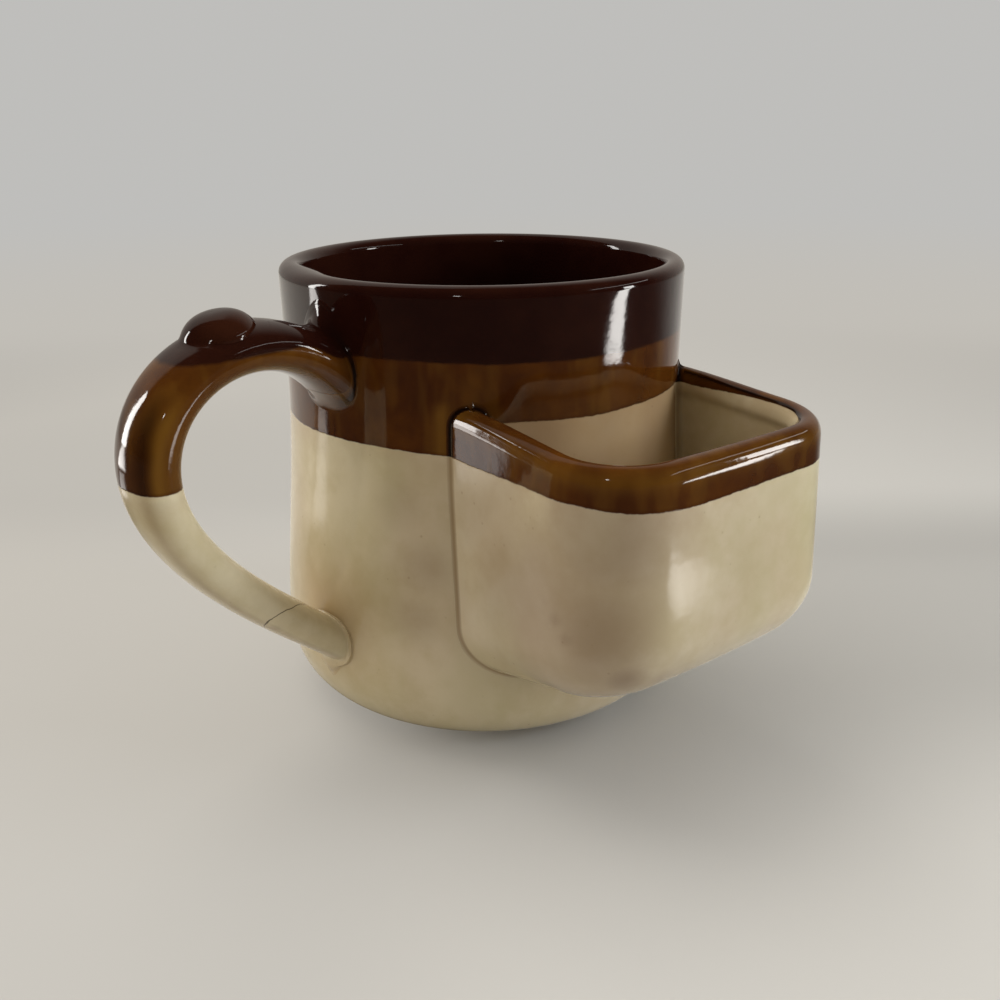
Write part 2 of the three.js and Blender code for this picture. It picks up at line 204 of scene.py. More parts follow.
@dataclass(frozen=True)
class GlazeLevels:
    """The heights that the dipped glazes reach, and what each part of the mug shows.

    The cream covers all. Amber was dipped over it from above, to one level outside, which climbs a
    little towards the handle, and to a higher one inside the pocket. The dark brown was dipped over that,
    ends higher on the handle, and fills the cup's inside.
    """

    amber_outside: float = 0.0665
    amber_climb: float = 0.0012
    climb_from: float = 0.012
    climb_to: float = 0.046
    amber_in_pocket: float = 0.0736
    brown: float = 0.0848
    brown_on_handle: float = 0.0884
    never: float = 1.0
    always: float = -1.0

    def amber(self, points: np.ndarray) -> np.ndarray:
        """The amber's level outside, at each of some points."""
        climbed = smoothstep(-points[..., 0], self.climb_from, self.climb_to)
        return self.amber_outside + self.amber_climb * climbed


LEVELS = GlazeLevels()


@dataclass(frozen=True)
class SmudgesAndShade:
    """Purple-brown smoke marks in the cream, and painted shade on the pocket's left side: the middle, reach
    and strength of each.
    """

    places: tuple[tuple[Triple, float, float], ...] = (
        ((-0.0240, -0.0740, 0.0350), 0.0060, 0.70),
        ((-0.0170, -0.0760, 0.0330), 0.0050, 0.45),
        ((-0.0313, -0.0605, 0.0480), 0.0030, 0.60),
        ((-0.0310, -0.0630, 0.0455), 0.0035, 0.66),
        ((-0.0305, -0.0655, 0.0425), 0.0035, 0.66),
        ((-0.0150, -0.0775, 0.0400), 0.0090, 0.30),
        # This and the next two, the broad ones, are painted shade on the pocket's left wall and corner.
        ((-0.0285, -0.0705, 0.0620), 0.0170, 0.62),
        ((-0.0290, -0.0700, 0.0440), 0.0170, 0.60),
        ((-0.0310, -0.0600, 0.0470), 0.0280, 0.54),
        ((-0.0360, -0.0300, 0.0440), 0.0080, 0.35),
        ((-0.0390, -0.0260, 0.0560), 0.0070, 0.25),
        ((-0.0375, -0.0280, 0.0330), 0.0070, 0.30),
        ((-0.0624, -0.0148, 0.0334), 0.0015, 0.80),
    )

    def over(self, points: np.ndarray) -> np.ndarray:
        """How strongly the smudges and painted shade mark each point: bell curves of the distance from each
        middle, the strongest of them.

        Args:
            points: The points.

        Returns:
            A value from 0 to 1 for each point.
        """
        marks = [
            strength * hill(np.linalg.norm(points - np.array(middle), axis=-1), 0, reach)
            for middle, reach, strength in self.places
        ]
        return np.max(marks, axis=0)


SMUDGES_AND_SHADE = SmudgesAndShade()


@dataclass(frozen=True)
class CupForm:
    """The cup's sizes and profile. Radii are of the outside, and a drop is below the top of the lip.

    A pull shapes a curve, as a share of how far it swells or rises. The groove round the foot's edge
    spreads over the foot's height divided by its sharpness. A count is how many points a part of the
    profile has.
    """

    height: float
    belly_radius: float
    rim_radius: float = 0.0440
    lip_thickness: float = 0.0046
    lip_squareness: float = 2.15
    waist_radius: float = 0.0438
    waist_drop: float = 0.0239
    belly_height: float = 0.0175
    foot_radius: float = 0.0352
    foot_height: float = 0.0024
    foot_flare: float = 0.0012
    foot_groove: float = 0.0003
    wall: float = 0.0044
    floor: float = 0.0060
    inside_corner: float = 0.0130
    foot_pull_out: float = 0.62
    foot_pull_up: float = 0.04
    belly_pull_down: float = 0.60
    belly_pull_up: float = 0.22
    waist_pull_down: float = 0.33
    groove_sharpness: int = 6
    base_count: int = 12
    band_count: int = 10
    side_count: int = 46
    fine_count: int = 200
    collar_count: int = 16
    roll_count: int = 61
    inner_count: int = 60
    corner_count: int = 20
    floor_count: int = 14

    @property
    def lip_height(self) -> float:
        """The height of the middle of the lip's roll."""
        return self.height - self.lip_thickness / 2

    def side(self, grow: float, count: int) -> tuple[np.ndarray, np.ndarray]:
        """The side's two curves, from the foot out to the belly and from the belly in to the waist.

        Args:
            grow: How far outside the cup's side they run.
            count: How many points each has.

        Returns:
            The lower and the upper curve, as radius and height.
        """
        foot = np.array([self.foot_radius + self.foot_flare + grow, self.foot_height])
        belly = np.array([self.belly_radius + grow, self.belly_height])
        waist = np.array([self.waist_radius + grow, self.height - self.waist_drop])
        swell = belly - foot
        rise = waist[1] - belly[1]
        share = np.linspace(0, 1, count)
        foot_pull = foot + swell * [self.foot_pull_out, self.foot_pull_up]
        lower = cubic([foot, foot_pull, belly - [0, self.belly_pull_down * swell[1]], belly], share)
        belly_pull = belly + [0, self.belly_pull_up * rise]
        waist_pull = waist - [0, self.waist_pull_down * rise]
        upper = cubic([belly, belly_pull, waist_pull, waist], share)
        return lower, upper

    @cached_property
    def outside(self) -> np.ndarray:
        """The outside from the foot to the lip, as radius and height."""
        lower, upper = self.side(0.0, self.fine_count)
        return np.vstack([lower, upper[1:], [[self.rim_radius, self.lip_height]]])

    def radius(self, height: np.ndarray) -> np.ndarray:
        """The outside radius at a height."""
        return np.interp(height, self.outside[:, 1], self.outside[:, 0])

    def laid(self, points: np.ndarray) -> tuple[np.ndarray, np.ndarray]:
        """Moves points level onto the cup's outside.

        Args:
            points: The points.

        Returns:
            The moved points, and the level direction outwards at each.
        """
        outward = unit(points * LEVEL)
        return outward * self.radius(points[..., 2])[..., None] + points * UPRIGHT, outward

    def profile(self) -> np.ndarray:
        """The whole profile, from the middle of the base, up the outside, over the lip and down inside.

        Returns:
            Radius, height and a share that is 0 outside and 1 inside, for each point.
        """
        base = np.linspace([0, 0], [self.foot_radius, 0], self.base_count)
        edge = self.foot_radius + self.foot_flare
        band = cubic(
            [[self.foot_radius, 0], [edge, 0], [edge, self.foot_height / 2], [edge, self.foot_height]],
            np.linspace(0, 1, self.band_count),
        )
        lower, upper = self.side(0.0, self.side_count)
        collar = np.linspace(upper[-1], [self.rim_radius, self.lip_height], self.collar_count)
        radius = self.lip_thickness / 2
        turn = np.linspace(0, np.pi, self.roll_count)
        roll = squared(np.column_stack([np.cos(turn), np.sin(turn)]), self.lip_squareness) * radius
        roll += [self.rim_radius - radius, self.lip_height]
        corner_top = self.floor + self.inside_corner
        inner = self.side(-self.wall, self.inner_count)[1][::-1]
        inner = inner[inner[:, 1] > corner_top]
        turn = np.linspace(0, -np.pi / 2, self.corner_count)
        corner = np.column_stack([np.cos(turn), np.sin(turn)]) * self.inside_corner
        corner += [self.radius(corner_top) - self.wall - self.inside_corner, corner_top]
        floor = np.linspace(corner[-1], [0, self.floor], self.floor_count)
        outside = [base, band[1:], lower[1:], upper[1:], collar[1:]]
        inside = [roll[1:], inner, corner, floor[1:]]
        points = np.vstack(outside + inside)
        spread = self.foot_height / self.groove_sharpness
        groove = self.foot_groove * hill(points[:, 1], self.foot_height, spread)
        count = sum(len(part) for part in outside)
        points[len(base):count, 0] -= groove[len(base):count]
        share = np.zeros(len(points))
        share[count:] = smoothstep(np.arange(len(points) - count), 0, len(roll))
        return np.column_stack([points, share])


@dataclass(frozen=True)
class PocketForm:
    """The pocket's sizes. Its sections are given by how far across and how far from the cup's axis.

    The walls lean out downwards and spread a little away from the cup, the front bows out, the rim dips
    towards the front and the bottom rises towards it. A count is how many points a part has, and the
    turn rows are the rows on each side of the rim's top that pass from outside to inside.
    """

    cup: CupForm
    rim_height: float
    width: float = 0.0610
    spread: float = 0.025
    skew: float = 0.025
    draft: float = 0.03
    reach: float = 0.0752
    bow: float = 0.0010
    corner: float = 0.0150
    wall: float = 0.0040
    bottom: float = 0.0182
    bottom_rise: float = 0.0108
    bottom_round: float = 0.0130
    floor: float = 0.0050
    rim_dip: float = 0.0023
    bead_proud: float = 0.0010
    bead_fade: float = 0.0030
    bead_rise: float = 0.0036
    bead_squareness: float = 2.15
    into_wall: float = 0.0015
    round_count: int = 24
    close_count: int = 15
    bead_count: int = 27
    wall_count: int = 62
    front_count: int = 28
    corner_count: int = 26
    side_count: int = 40
    turn_rows: int = 16
    seam_rounds: int = 8

    @property
    def bead_radius(self) -> float:
        """Half the thickness of the rim's bead, which is flush outside and proud of the wall inside."""
        return (self.wall + self.bead_proud) / 2

    @property
    def bead_height(self) -> float:
        """The height where the walls start to curve over into the rim."""
        return self.rim_height - self.bead_rise

    @property
    def spring(self) -> float:
        """Where the side walls leave the cup, as a distance from the cup's axis."""
        return math.sqrt(self.cup.waist_radius**2 - (self.width / 2) ** 2)

    def place(
        self, across: np.ndarray, depth: np.ndarray, height: np.ndarray, rim: np.ndarray, half: np.ndarray
    ) -> np.ndarray:
        """Carries plan positions to their place.

        The wall runs out by the spread and to the side by the skew with the distance from the cup, the
        front bows out as a parabola, and the height sinks by the dip at the rim and climbs by the rise at
        the bottom, mixed by how near the rim the point is.

        Args:
            across: How far to the side.
            depth: How far from the cup's axis.
            height: The height where the pocket leaves the cup.
            rim: 1 at the rim and 0 at the bottom.
            half: The half width at that height.

        Returns:
            The points.
        """
        beyond = depth - self.spring
        bow = self.bow * (1 - (across / half) ** 2)
        x = across * (1 + self.spread * beyond / (self.width / 2)) + self.skew * beyond
        rise = self.bottom_rise * beyond / (self.reach - self.spring)
        z = height - rim * self.dip(depth) + (1 - rim) * rise
        return np.stack(np.broadcast_arrays(x, -(depth + bow), z), axis=-1)

    def dip(self, depth: np.ndarray) -> np.ndarray:
        """How far the rim has dipped at a distance from the cup's axis."""
        return self.rim_dip * smoothstep(depth, self.spring, self.reach - self.wall)

    def grown(self, height: np.ndarray) -> np.ndarray:
        """How far the draft has moved the walls out at a height."""
        return self.draft * (self.rim_height - height)

    def profile(self) -> np.ndarray:
        """The wall's section, from the middle of the bottom, up outside, over the bead and down inside.

        Returns:
            Inset from the outer wall, height, rim share and closing share, for each row. The two halves of
            the section have the same number of rows.
        """
        inside_round = self.bottom_round - self.wall
        floor = self.bottom + self.floor
        bead, middle = self.bead_radius, self.bead_height
        quarter = np.linspace(0, np.pi / 2, self.round_count)
        close = np.linspace(1, 0, self.close_count)[:-1]
        turn = np.linspace(0, np.pi / 2, self.bead_count)[1:-1]
        reach = bead * squared(np.cos(turn), self.bead_squareness)
        top = middle + self.bead_rise * squared(np.sin(turn), self.bead_squareness)

        def half(inset: float, low: float, radius: float, proud: float, side: float) -> np.ndarray:
            """The section's outer or inner half, from the middle of the bottom to the rim's top.

            Args:
                inset: How far inside the outer wall it runs.
                low: The height of the flat bottom.
                radius: The radius of the round above it.
                proud: How far the bead stands proud of it.
                side: -1 for the outer half and 1 for the inner.

            Returns:
                Inset, height, rim share and closing share, for each row.
            """
            inset_round = inset + radius * (1 - np.sin(quarter))
            height_round = low + radius * (1 - np.cos(quarter))
            wall = np.linspace(height_round[-1], middle, self.wall_count)[1:]
            inset_wall = inset + proud * smoothstep(wall, middle - self.bead_fade, middle)
            flat = np.full(len(close), inset + radius)
            insets = np.concatenate([flat, inset_round, inset_wall, bead + side * reach])
            height = np.concatenate([np.full(len(close), low), height_round, wall, top])
            rim = np.clip((height - height_round[-1]) / (middle - height_round[-1]), 0, 1)
            closing = np.concatenate([close, np.zeros(len(insets) - len(close))])
            return np.column_stack([insets, height, rim, closing])

        outer = half(0.0, self.bottom, self.bottom_round, 0.0, -1.0)
        inner = half(self.wall, floor, inside_round, self.bead_proud, 1.0)
        return np.vstack([outer, inner[::-1]])

    def columns(self) -> np.ndarray:
        """The plan's stations, from the left end, round the front, to the right end.

        Returns:
            For each column its side, its share along the front, its corner turn and its share along the
            side wall.
        """
        front = np.linspace(0, 1, self.front_count)[:-1]
        turn = np.linspace(np.pi / 2, 0, self.corner_count)
        wall = np.linspace(0, 1, self.side_count)[1:]
        along = np.concatenate([front, np.ones(len(turn) + len(wall))])
        turns = np.concatenate([np.full(len(front), np.pi / 2), turn, np.zeros(len(wall))])
        walls = np.concatenate([np.zeros(len(front) + len(turn)), wall])
        right = np.column_stack([np.ones(len(along)), along, turns, walls])
        left = right[1:][::-1] * [-1, 1, 1, 1]
        return np.vstack([left, right])

    def grid(self) -> tuple[np.ndarray, np.ndarray]:
        """The pocket's whole skin: the wall's section carried round the plan.

        Each row is a level with its own inset. A column on the front, at a corner or on a side wall takes
        its across and depth from that inset, and the side walls end inside the cup's wall. Rows on the
        flat bottom and floor close towards the cup.

        Returns:
            The points, and each one's share inside.
        """
        inset, height, rim, close = (value[:, None] for value in self.profile().T)
        side, along, turn, wall = self.columns().T
        inset = inset - self.grown(height)
        half = self.width / 2 - inset
        front = self.reach - inset
        corner = self.corner - inset
        buried = self.cup.radius(height) - self.into_wall
        end = np.sqrt(buried**2 - half**2)
        across = side * ((half - corner) * along + corner * np.cos(turn))
        depth = front - corner + corner * np.sin(turn) - wall * (front - corner - end)
        across = across * (1 - close)
        depth = depth + close * (buried - depth)
        points = self.place(across, depth, height, rim, half)
        past_top = np.arange(len(points))[:, None] + np.zeros(points.shape[:2]) - len(points) / 2
        return points, smoothstep(past_top, -self.turn_rows, self.turn_rows)

    def skin(self, section: np.ndarray, depth: np.ndarray, inside: bool) -> np.ndarray:
        """Points on the outside or inside wall, by a place on its section and a depth.

        The section runs from the top of the left rim down the wall, round the bottom and up to the top of
        the right rim, and is given by a share from 0 to 1.

        Args:
            section: The share along the section.
            depth: The distance from the cup's axis.
            inside: Whether the inner wall is meant.

        Returns:
            The points.
        """
        across, height, rim = self.section(section, inside)
        return self.place(across, depth, height, rim, np.full_like(across, self.width / 2))

    def section(self, share: np.ndarray, inside: bool) -> tuple[np.ndarray, np.ndarray, np.ndarray]:
        """The wall's U seen square on, from the top of one side's rim to the other's.

        Args:
            share: How far along the U's length.
            inside: Whether the inner wall is meant.

        Returns:
            How far across, how high, and 1 at the rim falling to 0 at the bottom.
        """
        rows = self.profile()
        middle = len(rows) // 2
        inset, height, rim, closing = (rows[middle:][::-1] if inside else rows[:middle]).T
        across = (self.width / 2 - inset + self.grown(height)) * (1 - closing)
        across = np.concatenate([-across[::-1], across[1:]])
        height, rim = (np.concatenate([value[::-1], value[1:]]) for value in (height, rim))
        length = np.concatenate([[0], np.cumsum(np.hypot(np.diff(across), np.diff(height)))])
        where = share * length[-1]
        return tuple(np.interp(where, length, value) for value in (across, height, rim))

    def seam_depth(self, section: np.ndarray, inside: bool) -> np.ndarray:
        """How far from the cup's axis the wall meets the cup, found by moving there a few times.

        Args:
            section: The share along the wall's section.
            inside: Whether the inner wall is meant.

        Returns:
            The distance for each share.
        """
        depth = np.full(section.shape, self.spring)
        for _ in range(self.seam_rounds):
            x, _, z = np.moveaxis(self.skin(section, depth, inside), -1, 0)
            depth = np.sqrt(self.cup.radius(z) ** 2 - x**2)
        return depth


@dataclass
class HandleForm:
    """The handle's sizes and middle line: two curves in an upright plane, with straight buried ends.

    Each curve has a count of points, and slopes are taken over one step of the whole length. Each end
    leaves the cup within a share of that length, and is found there by a number of halvings.
    """

    cup: CupForm
    off_square: float = math.radians(8.6)
    reach: float = 0.0828
    reach_drop: float = 0.0124
    root_drop: float = 0.0176
    root_pull: Pair = (0.0150, 0.0146)
    crown_pull: float = 0.0187
    side_pull: float = 0.0172
    foot_height: float = 0.0231
    foot_pull: Pair = (0.0135, 0.0119)
    squareness: float = 2.4
    root_width: float = 0.0170
    foot_width: float = 0.0125
    root_thickness: float = 0.0099
    foot_thickness: float = 0.0077
    buried: float = 0.0090
    curve_count: int = 300
    slope_steps: int = 400
    leaves_within: float = 0.25
    halvings: int = 24
    line: np.ndarray = field(init=False)
    length: float = field(init=False)

    def __post_init__(self) -> None:
        """Works out the middle line, as radius, height and length along it."""
        root_height = self.cup.height - self.root_drop
        root = np.array([float(self.cup.radius(root_height)), root_height])
        foot = np.array([float(self.cup.radius(self.foot_height)), self.foot_height])
        reach = np.array([self.reach, root_height - self.reach_drop])
        share = np.linspace(0, 1, self.curve_count)
        root_inside = root - self.buried * unit(np.array(self.root_pull))
        foot_inside = foot - self.buried * unit(np.array(self.foot_pull))
        upper = cubic([root, root + self.root_pull, reach + [0, self.crown_pull], reach], share)
        lower = cubic([reach, reach - [0, self.side_pull], foot + self.foot_pull, foot], share)
        points = np.vstack([root_inside, upper, lower[1:], foot_inside])
        steps = np.hypot(*np.diff(points, axis=0).T)
        self.line = np.column_stack([points, np.concatenate([[0], np.cumsum(steps)])])
        self.length = float(self.line[-1, 2])

    @property
    def outward(self) -> np.ndarray:
        """The level direction from the cup's axis to the handle."""
        return np.array([-math.cos(self.off_square), -math.sin(self.off_square), 0.0])

    def in_plane(self, pair: np.ndarray) -> np.ndarray:
        """Carries radius and height in the handle's plane to space."""
        return pair[..., :1] * self.outward + pair[..., 1:] * UPRIGHT

    def axes(self, distance: np.ndarray) -> tuple[np.ndarray, np.ndarray, np.ndarray, np.ndarray]:
        """The middle line and its directions.

        Args:
            distance: How far along the line.

        Returns:
            The line's point, and the directions along, out and across.
        """
        radius, height, length = self.line.T
        step = self.length / self.slope_steps

        def at(where: np.ndarray) -> np.ndarray:
            """Radius and height at a distance along the line."""
            return np.stack([np.interp(where, length, radius), np.interp(where, length, height)], axis=-1)

        tangent = unit(at(distance + step) - at(distance - step))
        turned = np.stack([-tangent[..., 1], tangent[..., 0]], axis=-1)
        along, out = self.in_plane(tangent), self.in_plane(turned)
        return self.in_plane(at(distance)), along, out, np.cross(along, out)

    def half_sizes(self, distance: np.ndarray) -> tuple[np.ndarray, np.ndarray]:
        """Half the thickness and half the width, which both taper steadily to the foot.

        Args:
            distance: How far along the middle line.

        Returns:
            The two halves.
        """
        share = distance / self.length
        thickness = self.root_thickness + (self.foot_thickness - self.root_thickness) * share
        width = self.root_width + (self.foot_width - self.root_width) * share
        return thickness / 2, width / 2

    def skin(self, distance: np.ndarray, turn: np.ndarray) -> np.ndarray:
        """Points on the handle's skin: a superellipse carried along the middle line.

        Args:
            distance: How far along the line.
            turn: The turn round the line, from its outer side.

        Returns:
            The points.
        """
        middle, _, out, across = self.axes(distance)
        thick, wide = self.half_sizes(distance)
        cosine = squared(np.cos(turn), self.squareness)
        sine = squared(np.sin(turn), self.squareness)
        return middle + (thick * cosine)[..., None] * out + (wide * sine)[..., None] * across

    def normal(self, distance: np.ndarray, turn: np.ndarray) -> np.ndarray:
        """Outwards from the skin: the slope of the superellipse, whose powers are what its own leave of 2.

        Args:
            distance: How far along the middle line.
            turn: The turn round the line, from its outer side.

        Returns:
            The directions.
        """
        _, _, out, across = self.axes(distance)
        thick, wide = self.half_sizes(distance)
        power = 2 - 2 / self.squareness
        cosine = np.sign(np.cos(turn)) * np.abs(np.cos(turn)) ** power / thick
        sine = np.sign(np.sin(turn)) * np.abs(np.sin(turn)) ** power / wide
        return unit(cosine[..., None] * out + sine[..., None] * across)

    def leaving(self, turn: np.ndarray, from_root: bool) -> np.ndarray:
        """Where each line of the skin leaves the cup, found by halving.

        Args:
            turn: The turn of each line round the middle line.
            from_root: Whether the upper end is meant.

        Returns:
            The distance along the middle line.
        """
        share = self.leaves_within if from_root else 1 - self.leaves_within
        inside = np.full(turn.shape, 0.0 if from_root else self.length)
        outside = np.full(turn.shape, self.length * share)
        for _ in range(self.halvings):
            middle = (inside + outside) / 2
            x, y, z = np.moveaxis(self.skin(middle, turn), -1, 0)
            within = np.hypot(x, y) < self.cup.radius(z)
            inside = np.where(within, middle, inside)
            outside = np.where(within, outside, middle)
        return outside


@dataclass
class ClayPiece:
    """A piece of the mug, which stands for one node of the frame."""

    name: str
    node: str
    slot: Slot

    def build(self) -> bpy.types.Object:
        """Makes the bare piece."""
        raise NotImplementedError

    def dress(self, glaze: bpy.types.Material) -> None:
        """Builds the piece, glazes it and puts it in its node's place.

        Args:
            glaze: The glaze over the whole mug.
        """
        piece = self.build()
        piece.data.materials.append(glaze)
        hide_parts(self.node)
        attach(piece, BODY)
        logger.info("%s stands for %s: %d faces", piece.name, self.node, len(piece.data.polygons))


@dataclass
class Cup(ClayPiece):
    """The cup itself: foot, belly, waist, lip and inside, turned from one profile.

    The press is a swell of the lip inwards, where the handle's clay was worked in. Sheltered is the part
    behind the pocket. The glaze is thin on the lip and in a halo beside the pocket's seam, and is stained
    tan round the handle's lower end. Painted shade darkens the inside below the lip to near black, and
    darkens and tans the cream that shows inside the pocket.
    """

    form: CupForm
    pocket: PocketForm
    handle: HandleForm
    columns: int = 320
    press: float = 0.0036
    press_behind: float = 0.30
    press_spread: float = 0.26
    press_depth: float = 0.0052
    shelter_edge: float = 0.001
    seam_halo: float = 0.0009
    seam_halo_away: float = 1.4
    seam_halo_below_rim: float = 0.001
    seam_halo_above_rim: float = 0.002
    seam_thin: float = 0.9
    pocket_shade_rise: float = 0.008
    pocket_shade_tan: float = 1.2
    pocket_shade_dark: float = 0.54
    stain_around: float = 0.017
    stain_along: float = 0.014
    stain_lift: float = 0.004
    lip_spread: float = 0.0012
    lip_thin: float = 0.15
    pool: float = 0.75
    inside_shade_depth: float = 0.003
    bare_below: float = 0.0002

    def build(self) -> bpy.types.Object:
        """Turns the profile about the axis, with the lip pressed in.

        The press is a bell curve of the turn from its middle, times one of the height from the lip.

        Returns:
            The cup.
        """
        radius, height, inside = (value[:, None] for value in self.form.profile().T)
        turn = np.linspace(0, 2 * np.pi, self.columns, endpoint=False)[None, :]
        handle_turn = math.atan2(self.handle.outward[1], self.handle.outward[0])
        off = np.angle(np.exp(1j * (turn - handle_turn)))
        around = hill(off + self.press_behind, 0, self.press_spread)
        pressed = self.press * around * hill(height, self.form.lip_height, self.press_depth) * inside
        radius = radius - pressed
        grid = np.broadcast_arrays(radius * np.cos(turn), radius * np.sin(turn), height)
        points = np.stack(grid, axis=-1)
        return make_piece(self.name, points, self.marks(points, inside, height, off), columns_meet=True)

    def marks(
        self, points: np.ndarray, inside: np.ndarray, height: np.ndarray, off: np.ndarray
    ) -> dict[Mark, np.ndarray]:
        """What the glaze does on the cup.

        Args:
            points: The cup's skin.
            inside: The share inside the cup.
            height: The height of each row.
            off: The turn away from the handle.

        Returns:
            A value for each point, by mark.
        """
        x, y = points[..., 0], points[..., 1]
        outer, inner, front = inside < 0.5, inside > 0.5, y < 0
        edge = self.pocket.width / 2 - self.pocket.wall / 2
        sheltered = 1 - smoothstep(np.abs(x), edge - self.shelter_edge, edge + self.shelter_edge)
        sheltered = sheltered * front
        amber_level = LEVELS.amber(points)
        cream = amber_level + sheltered * (LEVELS.amber_in_pocket - amber_level)
        seam = self.pocket.width / 2 + self.pocket.grown(height) + self.seam_halo_away * self.seam_halo
        beside = hill(np.abs(x), seam, self.seam_halo) * front * (height > self.pocket.bottom)
        over_rim = height - self.pocket.rim_height
        beside = beside * (1 - smoothstep(over_rim, -self.seam_halo_below_rim, self.seam_halo_above_rim))
        inner_bottom = self.pocket.bottom + self.pocket.bottom_round
        # Painted shade: the cream that shows inside the pocket is darkened and tanned.
        pocket_shade = sheltered * smoothstep(height, inner_bottom, inner_bottom + self.pocket_shade_rise)
        around = self.form.belly_radius * off / self.stain_around
        along = (height - self.handle.foot_height - self.stain_lift) / self.stain_along
        halo = np.exp(-(around**2) - along**2)
        lip = hill(height, self.form.height, self.lip_spread) * (height > self.form.lip_height)
        lip = lip * np.ones_like(x)
        # Painted shade: the inside darkens to near black below the lip.
        pool = self.pool * smoothstep(self.form.lip_height - height, 0, self.inside_shade_depth)
        return {
            Mark.CREAM_TOP: np.where(inner, LEVELS.always, cream),
            Mark.AMBER_TOP: np.where(inner, LEVELS.always, LEVELS.brown),
            Mark.STAIN_AND_SHADE: np.maximum(halo, self.pocket_shade_tan * pocket_shade) * outer,
            Mark.THIN: np.maximum(self.lip_thin * lip, self.seam_thin * beside) * outer,
            Mark.SMUDGE_AND_SHADE: np.maximum(SMUDGES_AND_SHADE.over(points), self.pocket_shade_dark * pocket_shade) * outer,
            Mark.POOL_AND_SHADE: pool * inner,
            Mark.BARE: (height < self.bare_below) * outer * np.ones_like(x),
        }


@dataclass
class BiscuitPocket(ClayPiece):
    """The pocket on the cup's side, with its beaded rim.

    The glaze is thin in a line below the rim's outer edge and near the seam, lies thick along the rim's
    inner edge, and is darkened and browned inside as painted shade.
    """

    form: PocketForm
    thin_all: float = 0.02
    thin_edge: float = 0.45
    edge_below: float = 0.0022
    edge_spread: float = 0.0017
    thin_seam: float = 0.4
    seam_reach: float = 0.006
    seam_fade: float = 0.004
    seam_depth: float = 0.005
    pool: float = 0.95
    pool_at: float = 0.86
    pool_spread: float = 0.09
    inside_shade_depth: float = 0.0016
    inside_shade_dark: float = 0.09
    inside_shade_tan: float = 0.22

    def build(self) -> bpy.types.Object:
        """Carries the wall's section round the plan and closes its two ends inside the cup's wall.

        Returns:
            The pocket.
        """
        form = self.form
        points, inside = form.grid()
        height, outer = points[..., 2], inside < 0.5
        below = form.rim_height - form.dip(-points[..., 1]) - height
        level = LEVELS.amber(points)
        seam = smoothstep(form.spring + self.seam_reach + points[..., 1], 0, self.seam_fade)
        edge = hill(below, self.edge_below, self.edge_spread) * outer
        thin = self.thin_all + self.thin_edge * edge + self.thin_seam * seam * (below < self.seam_depth)
        marks = {
            Mark.CREAM_TOP: level + (LEVELS.amber_in_pocket - level) * inside,
            Mark.AMBER_TOP: np.full(height.shape, LEVELS.never),
            Mark.THIN: np.clip(thin, 0, 1),
            Mark.POOL_AND_SHADE: self.pool * hill(inside, self.pool_at, self.pool_spread) * (below < self.inside_shade_depth),
            # Painted shade: the inside is darkened and tanned, and broad smudges darken the left wall and
            # corner.
            Mark.SMUDGE_AND_SHADE: np.maximum(SMUDGES_AND_SHADE.over(points) * outer, self.inside_shade_dark * inside),
            Mark.STAIN_AND_SHADE: self.inside_shade_tan * inside,
        }
        return make_piece(self.name, points, marks, strips=True)


